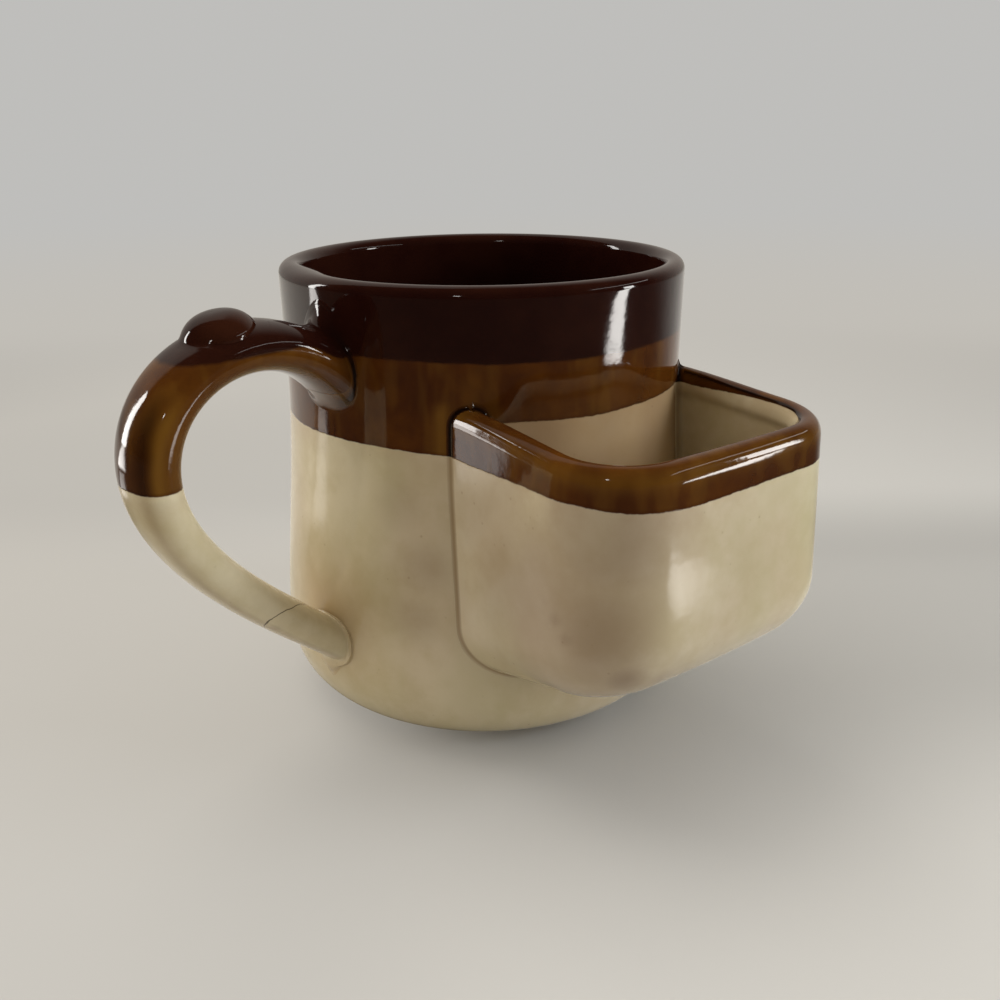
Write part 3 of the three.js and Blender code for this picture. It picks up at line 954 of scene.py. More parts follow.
@dataclass
class Handle(ClayPiece):
    """The loop handle.

    Below the crown, its glaze is thin along a line off the middle of the strap's outer face, and thick on
    that face's middle. Both lines are given by the cosine of the turn round the strap.
    """

    form: HandleForm
    rows: int = 320
    columns: int = 96
    into_wall: float = 0.002
    thin_all: float = 0.10
    thin: float = 0.85
    thin_at: float = 0.36
    thin_spread: float = 0.26
    thick: float = 0.55
    thick_at: float = 0.80
    thick_spread: float = 0.18
    crown_between: Pair = (0.0790, 0.0860)
    brown_climbs_between: Pair = (0.043, 0.052)
    foot_shade: float = 0.16
    crack_facing: Triple = (-0.232, 0.655, 0.719)
    crack_offset: float = 0.0304
    crack_below: float = 0.045
    crack_fades: Pair = (-0.45, -0.1)
    crack_gate: float = 0.1

    def build(self) -> bpy.types.Object:
        """Runs each line of the skin from inside the cup's wall at the root to inside it at the foot.

        Returns:
            The handle.
        """
        turn = np.linspace(0, 2 * np.pi, self.columns, endpoint=False)[None, :]
        start = self.form.leaving(turn, True) - self.into_wall
        end = self.form.leaving(turn, False) + self.into_wall
        distance = start + np.linspace(0, 1, self.rows)[:, None] * (end - start)
        points = capped(self.form.skin(distance, np.broadcast_to(turn, distance.shape)))
        turn = np.broadcast_to(turn, points.shape[:2])
        low = 1 - smoothstep(points[..., 2], *self.crown_between)
        climbed = smoothstep(-points[..., 0], *self.brown_climbs_between)
        # Painted shade: the cream below the amber is darkened a little all over, besides the chip's smudge.
        shade = np.maximum(SMUDGES_AND_SHADE.over(points), self.foot_shade)
        marks = {
            Mark.CREAM_TOP: LEVELS.amber(points),
            Mark.AMBER_TOP: LEVELS.brown + (LEVELS.brown_on_handle - LEVELS.brown) * climbed,
            Mark.THIN: self.thin_all + self.thin * low * hill(np.cos(turn), self.thin_at, self.thin_spread),
            Mark.POOL_AND_SHADE: self.thick * low * hill(np.cos(turn), self.thick_at, self.thick_spread),
            Mark.CRACK: self.crack(points, np.sin(turn)),
            Mark.SMUDGE_AND_SHADE: shade * (points[..., 2] < LEVELS.amber_outside),
        }
        return make_piece(self.name, points, marks, columns_meet=True)

    def crack(self, points: np.ndarray, side: np.ndarray) -> np.ndarray:
        """A hairline crack across the pocket's side of the lower end, which dies out round both edges.

        Args:
            points: The handle's skin.
            side: The sine of each point's turn round the strap.

        Returns:
            How far each point is from the crack's plane, and out of reach away from the crack.
        """
        distance = points @ np.array(self.crack_facing) - self.crack_offset
        near = (points[..., 2] < self.crack_below) * smoothstep(-side, *self.crack_fades)
        return distance + np.sign(distance) * self.crack_gate * (1 - near)


@dataclass
class ThumbRest(ClayPiece):
    """The pressed ball of clay on the handle's crown, an oval dome."""

    handle: HandleForm
    from_cup: float = 0.0237
    length: float = 0.0116
    width: float = 0.0136
    rise: float = 0.0028
    fullness: float = 3.0
    skirt: float = 1.35
    soften: float = 0.0006
    crease: float = 0.00008
    eased_between: Pair = (0.35, 0.95)
    groove: float = 0.00035
    groove_at: float = 1.03
    groove_spread: float = 0.05
    sink: float = 0.0012
    rows: int = 46
    first_row: float = 0.02
    columns: int = 96
    widest: float = 0.995
    thin: float = 0.6
    thin_at: float = 0.75
    thin_spread: float = 0.4

    def build(self) -> bpy.types.Object:
        """Raises a dome off the handle's skin.

        On an oval plan, the height falls from the rise by a power of the share of the way out, and is
        eased into the skin there: half the sum of the height and of the root of its square and of the
        softening squared. The softening is large only outwards along the handle. All round otherwise the
        clay is creased, and a bell curve cuts a shallow groove there. The last two rows go under the skin
        and close the piece.

        Returns:
            The thumb rest.
        """
        handle = self.handle
        share = np.concatenate([[0.0], np.linspace(self.first_row, self.skirt, self.rows)])[:, None]
        turn = np.linspace(0, 2 * np.pi, self.columns, endpoint=False)[None, :]
        forward = share * self.length / 2 * np.cos(turn)
        sideways = share * self.width / 2 * np.sin(turn)
        distance = handle.buried + self.from_cup + forward
        wide = handle.half_sizes(distance)[1]
        aside = np.clip(np.abs(sideways / wide), 0, self.widest)
        round_turn = np.sign(sideways) * np.arcsin(aside ** (handle.squareness / 2))
        level = self.rise * (1 - share**self.fullness)
        eased = smoothstep(np.cos(turn), *self.eased_between)
        soft = self.crease + (self.soften - self.crease) * eased
        level = (level + np.sqrt(level**2 + soft**2)) / 2 - soft**2 / self.rise / 3
        level = level - self.groove * (1 - eased) * hill(share, self.groove_at, self.groove_spread)
        skin = handle.skin(distance, round_turn)
        normal = handle.normal(distance, round_turn)
        points = skin + level[..., None] * normal
        under = skin[-1] - self.sink * normal[-1]
        middle = np.broadcast_to(under.mean(axis=0), under.shape)
        points = np.concatenate([points, under[None], middle[None]])
        shape = points.shape[:2]
        side = np.clip(np.abs(np.sin(turn)) * hill(share, self.thin_at, self.thin_spread), 0, 1)
        marks = {
            Mark.CREAM_TOP: np.full(shape, LEVELS.amber_outside),
            Mark.AMBER_TOP: np.full(shape, LEVELS.brown_on_handle),
            Mark.THIN: self.thin * np.concatenate([side, side[-1:], side[-1:]]),
        }
        return make_piece(self.name, points, marks, columns_meet=True)


@dataclass(frozen=True)
class Fillet:
    """Clay worked into a seam: how far it reaches on each side, and how its edges end."""

    on_cup: float
    on_neighbour: float
    top_on_cup: float = 0.0
    top_on_neighbour: float = 0.0
    bottom_on_cup: float = 0.0
    bottom_on_neighbour: float = 0.0
    web_spread: float = 0.42
    welt: float = 0.0
    welt_at: float = 0.4
    welt_spread: float = 0.25
    welt_ends: float = 0.2
    skirt: float = 0.0004
    skirt_dip: float = 0.5
    sink: float = 0.0010
    fullness: float = 0.62

    def section(
        self,
        cup_end: np.ndarray,
        seam: np.ndarray,
        neighbour_end: np.ndarray,
        cup_normal: np.ndarray,
        neighbour_normal: np.ndarray,
        count: int = 15,
    ) -> tuple[np.ndarray, np.ndarray]:
        """The fillet's closed section at each point of its seam.

        The face is a cubic curve that leaves each surface along it. It runs on under each surface by a
        skirt, and its back is sunk under both. A welt swells the face by a bell curve.

        Args:
            cup_end: Where the face meets the cup.
            seam: Where the two surfaces meet.
            neighbour_end: Where the face meets the neighbour.
            cup_normal: Outwards from the cup.
            neighbour_normal: Outwards from the neighbour.
            count: How many points the face has.

        Returns:
            The points, as seam by section by 3, and the share across the face.
        """
        share = np.linspace(0, 1, count)
        cup_pull = cup_end + self.fullness * (seam - cup_end)
        neighbour_pull = neighbour_end + self.fullness * (seam - neighbour_end)
        ends = [cup_end, cup_pull, neighbour_pull, neighbour_end]
        face = cubic([end[:, None] for end in ends], share[None, :])
        ends_level = smoothstep(share, 0, self.welt_ends) * smoothstep(1 - share, 0, self.welt_ends)
        swell = self.welt * hill(share, self.welt_at, self.welt_spread) * ends_level
        face = face + swell[None, :, None] * unit(cup_normal + neighbour_normal)[:, None]
        cup_skirt = cup_end + self.skirt * (unit(cup_end - seam) - self.skirt_dip * cup_normal)
        onward = unit(neighbour_end - seam) - self.skirt_dip * neighbour_normal
        neighbour_skirt = neighbour_end + self.skirt * onward
        under_neighbour = neighbour_end - self.sink * neighbour_normal
        under_seam = seam - self.sink * (cup_normal + neighbour_normal)
        under_cup = cup_end - self.sink * cup_normal
        back = np.stack([neighbour_skirt, under_neighbour, under_seam, under_cup, cup_skirt], axis=1)
        points = np.concatenate([face, back], axis=1)
        return points, np.concatenate([share, [1.0, 1.0, 0.5, 0.0, 0.0]])


@dataclass
class HandleJoint(ClayPiece):
    """The clay worked round one end of the handle."""

    handle: HandleForm
    from_root: bool
    fillet: Fillet
    columns: int = 96
    over_lip: float = 0.0006
    pool_at: float = 0.45
    pool_spread: float = 0.28
    pool_power: float = 1.5
    thin: float = 0.5
    thin_spread: float = 0.3
    stain_and_shade: float = 0.9
    stain_falls: float = 0.6

    def reaches(self, turn: np.ndarray) -> tuple[np.ndarray, np.ndarray]:
        """How far the clay reaches on the cup and on the handle.

        It is drawn out at the top by a bell curve of how far across the handle a point is, into a web,
        and at the bottom by the square of a cosine.

        Args:
            turn: The turn round the handle.

        Returns:
            The reach on the cup and the reach on the handle.
        """
        fillet = self.fillet
        aside = squared(np.sin(turn), self.handle.squareness)
        top = hill(aside, 0, fillet.web_spread) * (np.cos(turn) > 0)
        low = np.clip(-np.cos(turn), 0, 1) ** 2
        on_cup = fillet.on_cup + fillet.top_on_cup * top + fillet.bottom_on_cup * low
        on_handle = fillet.on_neighbour + fillet.top_on_neighbour * top + fillet.bottom_on_neighbour * low
        return on_cup, on_handle

    def build(self) -> bpy.types.Object:
        """Carries the fillet's section round the seam between the handle and the cup.

        Returns:
            The joint.
        """
        cup = self.handle.cup
        turn = np.linspace(0, 2 * np.pi, self.columns, endpoint=False)
        leaving = self.handle.leaving(turn, self.from_root)
        seam = self.handle.skin(leaving, turn)
        skin_normal = self.handle.normal(leaving, turn)
        on_cup, on_handle = self.reaches(turn)
        cup_end = seam + on_cup[:, None] * flattened(skin_normal, unit(seam * LEVEL))
        cup_end[:, 2] = np.minimum(cup_end[:, 2], cup.lip_height + self.over_lip)
        cup_end, outward = cup.laid(cup_end)
        onward = 1.0 if self.from_root else -1.0
        neighbour_end = self.handle.skin(leaving + onward * on_handle, turn)
        points, share = self.fillet.section(cup_end, seam, neighbour_end, outward, skin_normal)
        return make_piece(self.name, points, self.marks(turn, share), rows_meet=True, columns_meet=True)

    def marks(self, turn: np.ndarray, share: np.ndarray) -> dict[Mark, np.ndarray]:
        """What the glaze does on the joint: it pools along the upper one's seam and browns the lower one.

        Args:
            turn: The turn round the handle.
            share: The share across the fillet's face.

        Returns:
            A value for each point, by mark.
        """
        shape = (len(turn), len(share))
        root = 1.0 if self.from_root else 0.0
        side = np.abs(np.sin(turn))[:, None] ** self.pool_power
        pool = np.broadcast_to(hill(share, self.pool_at, self.pool_spread), shape) * side
        thin = np.broadcast_to(hill(share, 1.0, self.thin_spread), shape) * self.thin
        stain_and_shade = np.broadcast_to(self.stain_and_shade - self.stain_falls * share, shape)
        return {
            Mark.CREAM_TOP: np.full(shape, LEVELS.amber_outside + LEVELS.amber_climb),
            Mark.AMBER_TOP: np.full(shape, LEVELS.brown),
            Mark.THIN: thin * root,
            Mark.POOL_AND_SHADE: pool * root,
            Mark.STAIN_AND_SHADE: stain_and_shade * (1.0 - root),
        }


@dataclass
class PocketJoint(ClayPiece):
    """The clay worked into the seam between the pocket and the cup, outside or inside."""

    pocket: PocketForm
    inside: bool
    fillet: Fillet
    rows: int = 300
    pool_at: float = 0.5
    pool_spread: float = 0.42

    def build(self) -> bpy.types.Object:
        """Carries the fillet's section down one wall, round the bottom and up the other.

        Returns:
            The joint.
        """
        pocket = self.pocket
        where = np.linspace(0, 1, self.rows)
        depth = pocket.seam_depth(where, self.inside)
        seam = pocket.skin(where, depth, self.inside)
        across, height, _ = pocket.section(where, self.inside)
        tangent = unit(np.gradient(np.stack([across, height], axis=-1), axis=0))
        facing = -1.0 if self.inside else 1.0
        wall_normal = np.stack([tangent[:, 1], np.zeros(self.rows), -tangent[:, 0]], axis=-1) * facing
        cup_end = seam + self.fillet.on_cup * flattened(wall_normal, unit(seam * LEVEL))
        cup_end, outward = pocket.cup.laid(cup_end)
        neighbour_end = pocket.skin(where, depth + self.fillet.on_neighbour, self.inside)
        points, share = self.fillet.section(cup_end, seam, neighbour_end, outward, wall_normal)
        points = capped(points)
        shape = points.shape[:2]
        marks = {
            Mark.CREAM_TOP: np.full(shape, LEVELS.amber_in_pocket) if self.inside else LEVELS.amber(points),
            Mark.AMBER_TOP: np.full(shape, LEVELS.never),
            Mark.POOL_AND_SHADE: np.broadcast_to(hill(share, self.pool_at, self.pool_spread), shape),
            # The smudges include broad painted shade on the pocket's left side.
            Mark.SMUDGE_AND_SHADE: SMUDGES_AND_SHADE.over(points),
        }
        return make_piece(self.name, points, marks, columns_meet=True)


@dataclass(frozen=True)
class Cloud:
    """A cloudy pattern: how many features it has to a metre, its finer octaves and their strength."""

    scale: float
    detail: float = 2.0
    roughness: float = 0.5


@dataclass(frozen=True)
class Grain:
    """How a pattern's place is stretched along each axis and turned about the upright one."""

    scale: Triple
    turn: float = 0.0


class NodeSheet:
    """Lays out shader nodes and links them."""

    def __init__(self, tree: bpy.types.NodeTree) -> None:
        """Keeps the tree that the nodes go in."""
        self.tree = tree

    def add(self, kind: str, **settings: object) -> bpy.types.Node:
        """Adds a node.

        Args:
            kind: The node's type.
            settings: Its settings, by name.

        Returns:
            The node.
        """
        node = self.tree.nodes.new(kind)
        for name, value in settings.items():
            setattr(node, name, value)
        return node

    def feed(self, socket: bpy.types.NodeSocket, value: object) -> None:
        """Links an output into an input, or writes a plain value there.

        Args:
            socket: The input.
            value: The output, or a number, a vector or a colour without its alpha.
        """
        if isinstance(value, bpy.types.NodeSocket):
            self.tree.links.new(value, socket)
        elif isinstance(value, tuple) and len(value) == 3 and len(socket.default_value) == 4:
            socket.default_value = (*value, 1.0)
        else:
            socket.default_value = value

    def sum(self, operation: str, first: object, second: object = 0.0, clamp: bool = False) -> object:
        """Works out a sum of two values.

        Args:
            operation: Which sum.
            first: The first value.
            second: The second value, where the sum has one.
            clamp: Whether the result is kept between 0 and 1.

        Returns:
            The result's output.
        """
        node = self.add("ShaderNodeMath", operation=operation, use_clamp=clamp)
        self.feed(node.inputs[0], first)
        self.feed(node.inputs[1], second)
        return node.outputs[0]

    def times(self, *values: object) -> object:
        """The product of some values.

        Args:
            values: The values.

        Returns:
            The result's output.
        """
        total = values[0]
        for value in values[1:]:
            total = self.sum("MULTIPLY", total, value)
        return total

    def rest(self, value: object) -> object:
        """What a value leaves of 1."""
        return self.sum("SUBTRACT", 1.0, value)

    def step(self, value: object, low: object, high: object) -> object:
        """Rises smoothly from 0 to 1 between two values.

        Args:
            value: The value that is measured.
            low: Where the rise starts.
            high: Where it ends.

        Returns:
            The result's output.
        """
        node = self.add("ShaderNodeMapRange", interpolation_type="SMOOTHSTEP")
        self.feed(node.inputs["Value"], value)
        self.feed(node.inputs["From Min"], low)
        self.feed(node.inputs["From Max"], high)
        return node.outputs["Result"]

    def mix(self, factor: object, first: object, second: object) -> object:
        """Mixes two colours.

        Args:
            factor: The share of the second.
            first: The first colour.
            second: The second colour.

        Returns:
            The result's output.
        """
        node = self.add("ShaderNodeMix", data_type="RGBA")
        self.feed(node.inputs[0], factor)
        self.feed(node.inputs[6], first)
        self.feed(node.inputs[7], second)
        return node.outputs[2]

    def blend(self, factor: object, first: object, second: object) -> object:
        """Mixes two shaders.

        Args:
            factor: The share of the second.
            first: The first shader.
            second: The second shader.

        Returns:
            The result's output.
        """
        node = self.add("ShaderNodeMixShader")
        for socket, value in zip(node.inputs, (factor, first, second)):
            self.feed(socket, value)
        return node.outputs[0]

    def glow(self, colour: object, strength: object = 1.0) -> object:
        """Gives off light.

        Args:
            colour: The light's colour.
            strength: The light's strength.

        Returns:
            The shader's output.
        """
        node = self.add("ShaderNodeEmission")
        self.feed(node.inputs["Color"], colour)
        self.feed(node.inputs["Strength"], strength)
        return node.outputs[0]

    def noise(self, place: object, cloud: Cloud) -> object:
        """Lays out a cloudy pattern.

        Args:
            place: Where the pattern is read.
            cloud: The pattern's sizes.

        Returns:
            The output of a value that wanders about 0.5.
        """
        node = self.add("ShaderNodeTexNoise")
        self.feed(node.inputs["Vector"], place)
        node.inputs["Scale"].default_value = cloud.scale
        node.inputs["Detail"].default_value = cloud.detail
        node.inputs["Roughness"].default_value = cloud.roughness
        return node.outputs["Fac"]

    def stretched(self, place: object, grain: Grain) -> object:
        """Stretches and turns a place, so that a pattern runs one way.

        Args:
            place: The place.
            grain: The stretch and turn.

        Returns:
            The output of the new place.
        """
        node = self.add("ShaderNodeMapping")
        self.feed(node.inputs["Vector"], place)
        node.inputs["Scale"].default_value = grain.scale
        node.inputs["Rotation"].default_value = (0.0, 0.0, grain.turn)
        return node.outputs["Vector"]

    def measured(self, place: object, way: Triple, start: Pair = (0.0, 0.0)) -> object:
        """How far a place is from a start, one level way.

        Args:
            place: The place.
            way: The way, at length 1.
            start: The start.

        Returns:
            The distance's output.
        """
        dot = self.add("ShaderNodeVectorMath", operation="DOT_PRODUCT")
        self.feed(dot.inputs[0], place)
        dot.inputs[1].default_value = way
        return self.sum("SUBTRACT", dot.outputs["Value"], way[0] * start[0] + way[1] * start[1])

    def mark(self, mark: Mark) -> object:
        """Reads one of the piece's marks."""
        return self.add("ShaderNodeAttribute", attribute_name=mark.value).outputs["Fac"]


def new_group(name: str, inputs: dict[str, str], outputs: dict[str, str]) -> tuple[object, NodeSheet]:
    """Makes an empty node group.

    Args:
        name: The group's name.
        inputs: The kind of each input socket, by name.
        outputs: The kind of each output socket, by name.

    Returns:
        The group and a sheet to lay its nodes out on.
    """
    group = bpy.data.node_groups.new(name, "ShaderNodeTree")
    for label, kind in inputs.items():
        group.interface.new_socket(label, in_out="INPUT", socket_type=f"NodeSocket{kind}")
    for label, kind in outputs.items():
        group.interface.new_socket(label, in_out="OUTPUT", socket_type=f"NodeSocket{kind}")
    return group, NodeSheet(group)


@dataclass(frozen=True)
class SharedGroups:
    """The node groups that a glaze uses, and the sizes of their patterns."""

    slow_waver: Cloud = Cloud(55.0, 1.0)
    fine_waver: Cloud = Cloud(420.0, 3.0, 0.6)
    fine_waver_share: float = 0.40
    broad: Cloud = Cloud(48.0, 3.0, 0.55)
    broad_share: float = 0.72
    fine: Cloud = Cloud(260.0, 4.0, 0.6)
    fine_share: float = 0.28
    clouds_between: Pair = (0.36, 0.64)
    tint: Cloud = Cloud(26.0, 2.0, 0.5)
    tint_grain: Grain = Grain((1.0, 1.0, 0.55), 1.1)
    tint_between: Pair = (0.42, 0.68)
    speck_scale: float = 420.0
    speck_between: Pair = (0.04, 0.16)
    speck_chosen: Pair = (0.80, 0.92)
    waves: Cloud = Cloud(62.0, 1.0)
    peel: Cloud = Cloud(420.0, 1.0)
    grain: Cloud = Cloud(1300.0, 1.0)

    @cached_property
    def edge(self) -> object:
        """A dipped glaze's edge: a level that wavers slowly, with fine ragged bits.

        Returns:
            The group, which puts out a mask of what is above the edge, and how far above it a point is.
        """
        group, sheet = new_group(
            "dip_edge",
            {"Place": "Vector", "Height": "Float", "Level": "Float", "Waver": "Float", "Softness": "Float"},
            {"Above": "Float", "Distance": "Float"},
        )
        source = sheet.add("NodeGroupInput")
        slow = sheet.sum("SUBTRACT", sheet.noise(source.outputs["Place"], self.slow_waver), 0.5)
        fine = sheet.sum("SUBTRACT", sheet.noise(source.outputs["Place"], self.fine_waver), 0.5)
        waver = sheet.sum("ADD", slow, sheet.times(fine, self.fine_waver_share))
        lift = sheet.times(waver, source.outputs["Waver"])
        distance = sheet.sum("SUBTRACT", source.outputs["Height"], source.outputs["Level"])
        distance = sheet.sum("ADD", distance, lift)
        softness = source.outputs["Softness"]
        sink = sheet.add("NodeGroupOutput")
        sheet.feed(sink.inputs["Above"], sheet.step(distance, sheet.times(softness, -1.0), softness))
        sheet.feed(sink.inputs["Distance"], distance)
        return group

    @cached_property
    def mottle(self) -> object:
        """Cloudy patches with finer clouds over them, and small round specks.

        Returns:
            The group, which puts out the clouds, a second set of clouds and the specks.
        """
        outputs = {"Clouds": "Float", "Tint": "Float", "Specks": "Float"}
        group, sheet = new_group("glaze_mottle", {"Place": "Vector"}, outputs)
        place = sheet.add("NodeGroupInput").outputs["Place"]
        broad = sheet.times(sheet.noise(place, self.broad), self.broad_share)
        fine = sheet.times(sheet.noise(place, self.fine), self.fine_share)
        tint = sheet.noise(sheet.stretched(place, self.tint_grain), self.tint)
        cells = sheet.add("ShaderNodeTexVoronoi", feature="F1")
        sheet.feed(cells.inputs["Vector"], place)
        cells.inputs["Scale"].default_value = self.speck_scale
        cells.inputs["Randomness"].default_value = 1.0
        near = sheet.rest(sheet.step(cells.outputs["Distance"], *self.speck_between))
        parts = sheet.add("ShaderNodeSeparateColor")
        sheet.feed(parts.inputs[0], cells.outputs["Color"])
        chosen = sheet.step(parts.outputs[0], *self.speck_chosen)
        sink = sheet.add("NodeGroupOutput")
        sheet.feed(sink.inputs["Clouds"], sheet.step(sheet.sum("ADD", broad, fine), *self.clouds_between))
        sheet.feed(sink.inputs["Tint"], sheet.step(tint, *self.tint_between))
        sheet.feed(sink.inputs["Specks"], sheet.times(near, chosen))
        return group

    @cached_property
    def skin(self) -> object:
        """The fired glaze's surface: long soft waves, an orange peel and a fine grain.

        Returns:
            The group, which puts out a height in metres.
        """
        inputs = {"Place": "Vector", "Waves": "Float", "Peel": "Float", "Grain": "Float"}
        group, sheet = new_group("glaze_skin", inputs, {"Height": "Float"})
        source = sheet.add("NodeGroupInput")
        total: object = 0.0
        for label, cloud in (("Waves", self.waves), ("Peel", self.peel), ("Grain", self.grain)):
            bumps = sheet.times(sheet.noise(source.outputs["Place"], cloud), source.outputs[label])
            total = sheet.sum("ADD", total, bumps)
        sink = sheet.add("NodeGroupOutput")
        sheet.feed(sink.inputs["Height"], total)
        return group


@dataclass(frozen=True)
class GlazeColours:
    """The glazes' colours, as linear light."""

    cream: Triple = (0.560, 0.470, 0.285)
    cream_pale: Triple = (0.680, 0.590, 0.400)
    cream_green: Triple = (0.450, 0.395, 0.205)
    cream_pink: Triple = (0.500, 0.375, 0.250)
    # Tan stains, and painted shade inside the pocket.
    tan_stain_and_shade: Triple = (0.400, 0.240, 0.095)
    cream_pool: Triple = (0.230, 0.150, 0.070)
    speck: Triple = (0.200, 0.125, 0.070)
    # Smoke marks, and broad painted shade on the pocket's side.
    smudge_and_shade: Triple = (0.170, 0.100, 0.062)
    crack: Triple = (0.100, 0.070, 0.035)
    amber: Triple = (0.084, 0.0255, 0.0030)
    amber_thin: Triple = (0.150, 0.066, 0.009)
    amber_thick: Triple = (0.036, 0.0085, 0.0022)
    brown: Triple = (0.0130, 0.0028, 0.0018)
    brown_thin: Triple = (0.034, 0.0095, 0.0040)
    # Pooled glaze, and painted shade inside the cup.
    pool: Triple = (0.0030, 0.0010, 0.0008)
    clay: Triple = (0.480, 0.400, 0.300)


@dataclass(frozen=True)
class Glaze:
    """One finish of the mug: the three dipped glazes over stoneware clay.

    Wavers, waves and widths are in metres. A share is how strongly a colour covers the one under it.
    """

    name: str
    colours: GlazeColours = GlazeColours()
    index: float = 1.5
    cream_roughness: float = 0.12
    dark_roughness: float = 0.05
    cloud_roughness: float = 0.03
    clay_roughness: float = 0.75
    edge_waver: float = 0.0013
    edge_softness: float = 0.00014
    brown_waver: float = 0.0013
    brown_softness: float = 0.0004
    dark_thickness: float = 0.00008
    waves: float = 0.00016
    peel: float = 0.000018
    grain: float = 0.0000040
    pink_share: float = 0.45
    green: Cloud = Cloud(40.0, 3.0)
    green_grain: Grain = Grain((1.0, 1.0, 0.7), 2.3)
    green_between: Pair = (0.45, 0.70)
    green_share: float = 0.40
    fringe_depth: float = 0.006
    fringe_share: float = 0.45
    stain_and_shade_share: float = 0.6
    smoke_and_shade_between: Pair = (-0.6, 0.8)
    seam_share: float = 0.8
    speck_share: float = 0.30
    crack_ragged: float = 0.0010
    crack_cloud: Cloud = Cloud(330.0, 3.0)
    crack_half_width: float = 0.00009
    run_cloud: Cloud = Cloud(190.0, 2.0)
    run_grain: Grain = Grain((1.0, 1.0, 0.30))
    run_between: Pair = (0.48, 0.66)
    run_share: float = 0.26
    thin_between: Pair = (0.05, 0.55)
    thick_share: float = 0.8
    lip_between: Pair = (0.0001, 0.0009)
    lip_share: float = 0.5
    redder_share: float = 0.35

    def build(self, groups: SharedGroups) -> bpy.types.Material:
        """Lays out the material.

        Args:
            groups: The shared node groups.

        Returns:
            The material, which reads object coordinates and the piece's marks.
        """
        material = bpy.data.materials.new(self.name)
        material.use_nodes = True
        material.node_tree.nodes.clear()
        sheet = NodeSheet(material.node_tree)
        place = sheet.add("ShaderNodeTexCoord").outputs["Object"]
        mottle = sheet.add("ShaderNodeGroup", node_tree=groups.mottle)
        sheet.feed(mottle.inputs["Place"], place)
        where = (sheet, groups, place)
        over_cream, depth = self.edge(*where, Mark.CREAM_TOP, self.edge_waver, self.edge_softness)
        over_amber, _ = self.edge(*where, Mark.AMBER_TOP, self.brown_waver, self.brown_softness)
        amber = self.amber(sheet, place, mottle, depth)
        dark = sheet.mix(over_amber, amber, self.brown(sheet, mottle))
        colour = sheet.mix(over_cream, self.cream(sheet, place, mottle, depth), dark)
        bare = sheet.mark(Mark.BARE)
        shine = sheet.times(over_cream, self.dark_roughness - self.cream_roughness)
        shine = sheet.sum("ADD", shine, self.cream_roughness)
        shine = sheet.sum("ADD", shine, sheet.times(mottle.outputs["Clouds"], self.cloud_roughness))
        shine = sheet.sum("MAXIMUM", shine, sheet.times(bare, self.clay_roughness))
        skin = sheet.add("ShaderNodeGroup", node_tree=groups.skin)
        sheet.feed(skin.inputs["Place"], place)
        skin.inputs["Waves"].default_value = self.waves
        skin.inputs["Peel"].default_value = self.peel
        skin.inputs["Grain"].default_value = self.grain
        thickness = sheet.times(over_cream, self.dark_thickness)
        bump = sheet.add("ShaderNodeBump")
        bump.inputs["Strength"].default_value = 1.0
        bump.inputs["Distance"].default_value = 1.0
        sheet.feed(bump.inputs["Height"], sheet.sum("ADD", skin.outputs["Height"], thickness))
        shader = sheet.add("ShaderNodeBsdfPrincipled")
        sheet.feed(shader.inputs["Base Color"], sheet.mix(bare, colour, self.colours.clay))
        sheet.feed(shader.inputs["Roughness"], shine)
        sheet.feed(shader.inputs["Normal"], bump.outputs["Normal"])
        shader.inputs["IOR"].default_value = self.index
        output = sheet.add("ShaderNodeOutputMaterial")
        sheet.feed(output.inputs["Surface"], shader.outputs["BSDF"])
        return material

    @staticmethod
    def edge(
        sheet: NodeSheet, groups: SharedGroups, place: object, mark: Mark, waver: float, softness: float
    ) -> tuple[object, object]:
        """Places a dipped edge at the level that a mark gives.

        Args:
            sheet: The material's sheet.
            groups: The shared node groups.
            place: The point on the mug.
            mark: The mark that gives the level.
            waver: How far the edge wavers.
            softness: Half the edge's width.

        Returns:
            The outputs of the mask above the edge and of the distance above it.
        """
        parts = sheet.add("ShaderNodeSeparateXYZ")
        sheet.feed(parts.inputs[0], place)
        node = sheet.add("ShaderNodeGroup", node_tree=groups.edge)
        sheet.feed(node.inputs["Place"], place)
        sheet.feed(node.inputs["Height"], parts.outputs["Z"])
        sheet.feed(node.inputs["Level"], sheet.mark(mark))
        node.inputs["Waver"].default_value = waver
        node.inputs["Softness"].default_value = softness
        return node.outputs["Above"], node.outputs["Distance"]

    def cream(self, sheet: NodeSheet, place: object, mottle: bpy.types.Node, depth: object) -> object:
        """The cream: pale, greenish and pinkish clouds, tan halos, smoke marks, specks and a crack, with
        painted shade darkening and tanning it in and beside the pocket.

        Args:
            sheet: The material's sheet.
            place: The point on the mug.
            mottle: The mottle's node.
            depth: How far above the amber's edge the point is.

        Returns:
            The colour's output.
        """
        colours = self.colours
        clouds, tint = mottle.outputs["Clouds"], mottle.outputs["Tint"]
        green = sheet.noise(sheet.stretched(place, self.green_grain), self.green)
        green = sheet.step(green, *self.green_between)
        fringe = sheet.times(sheet.step(depth, -self.fringe_depth, 0.0), sheet.rest(clouds))
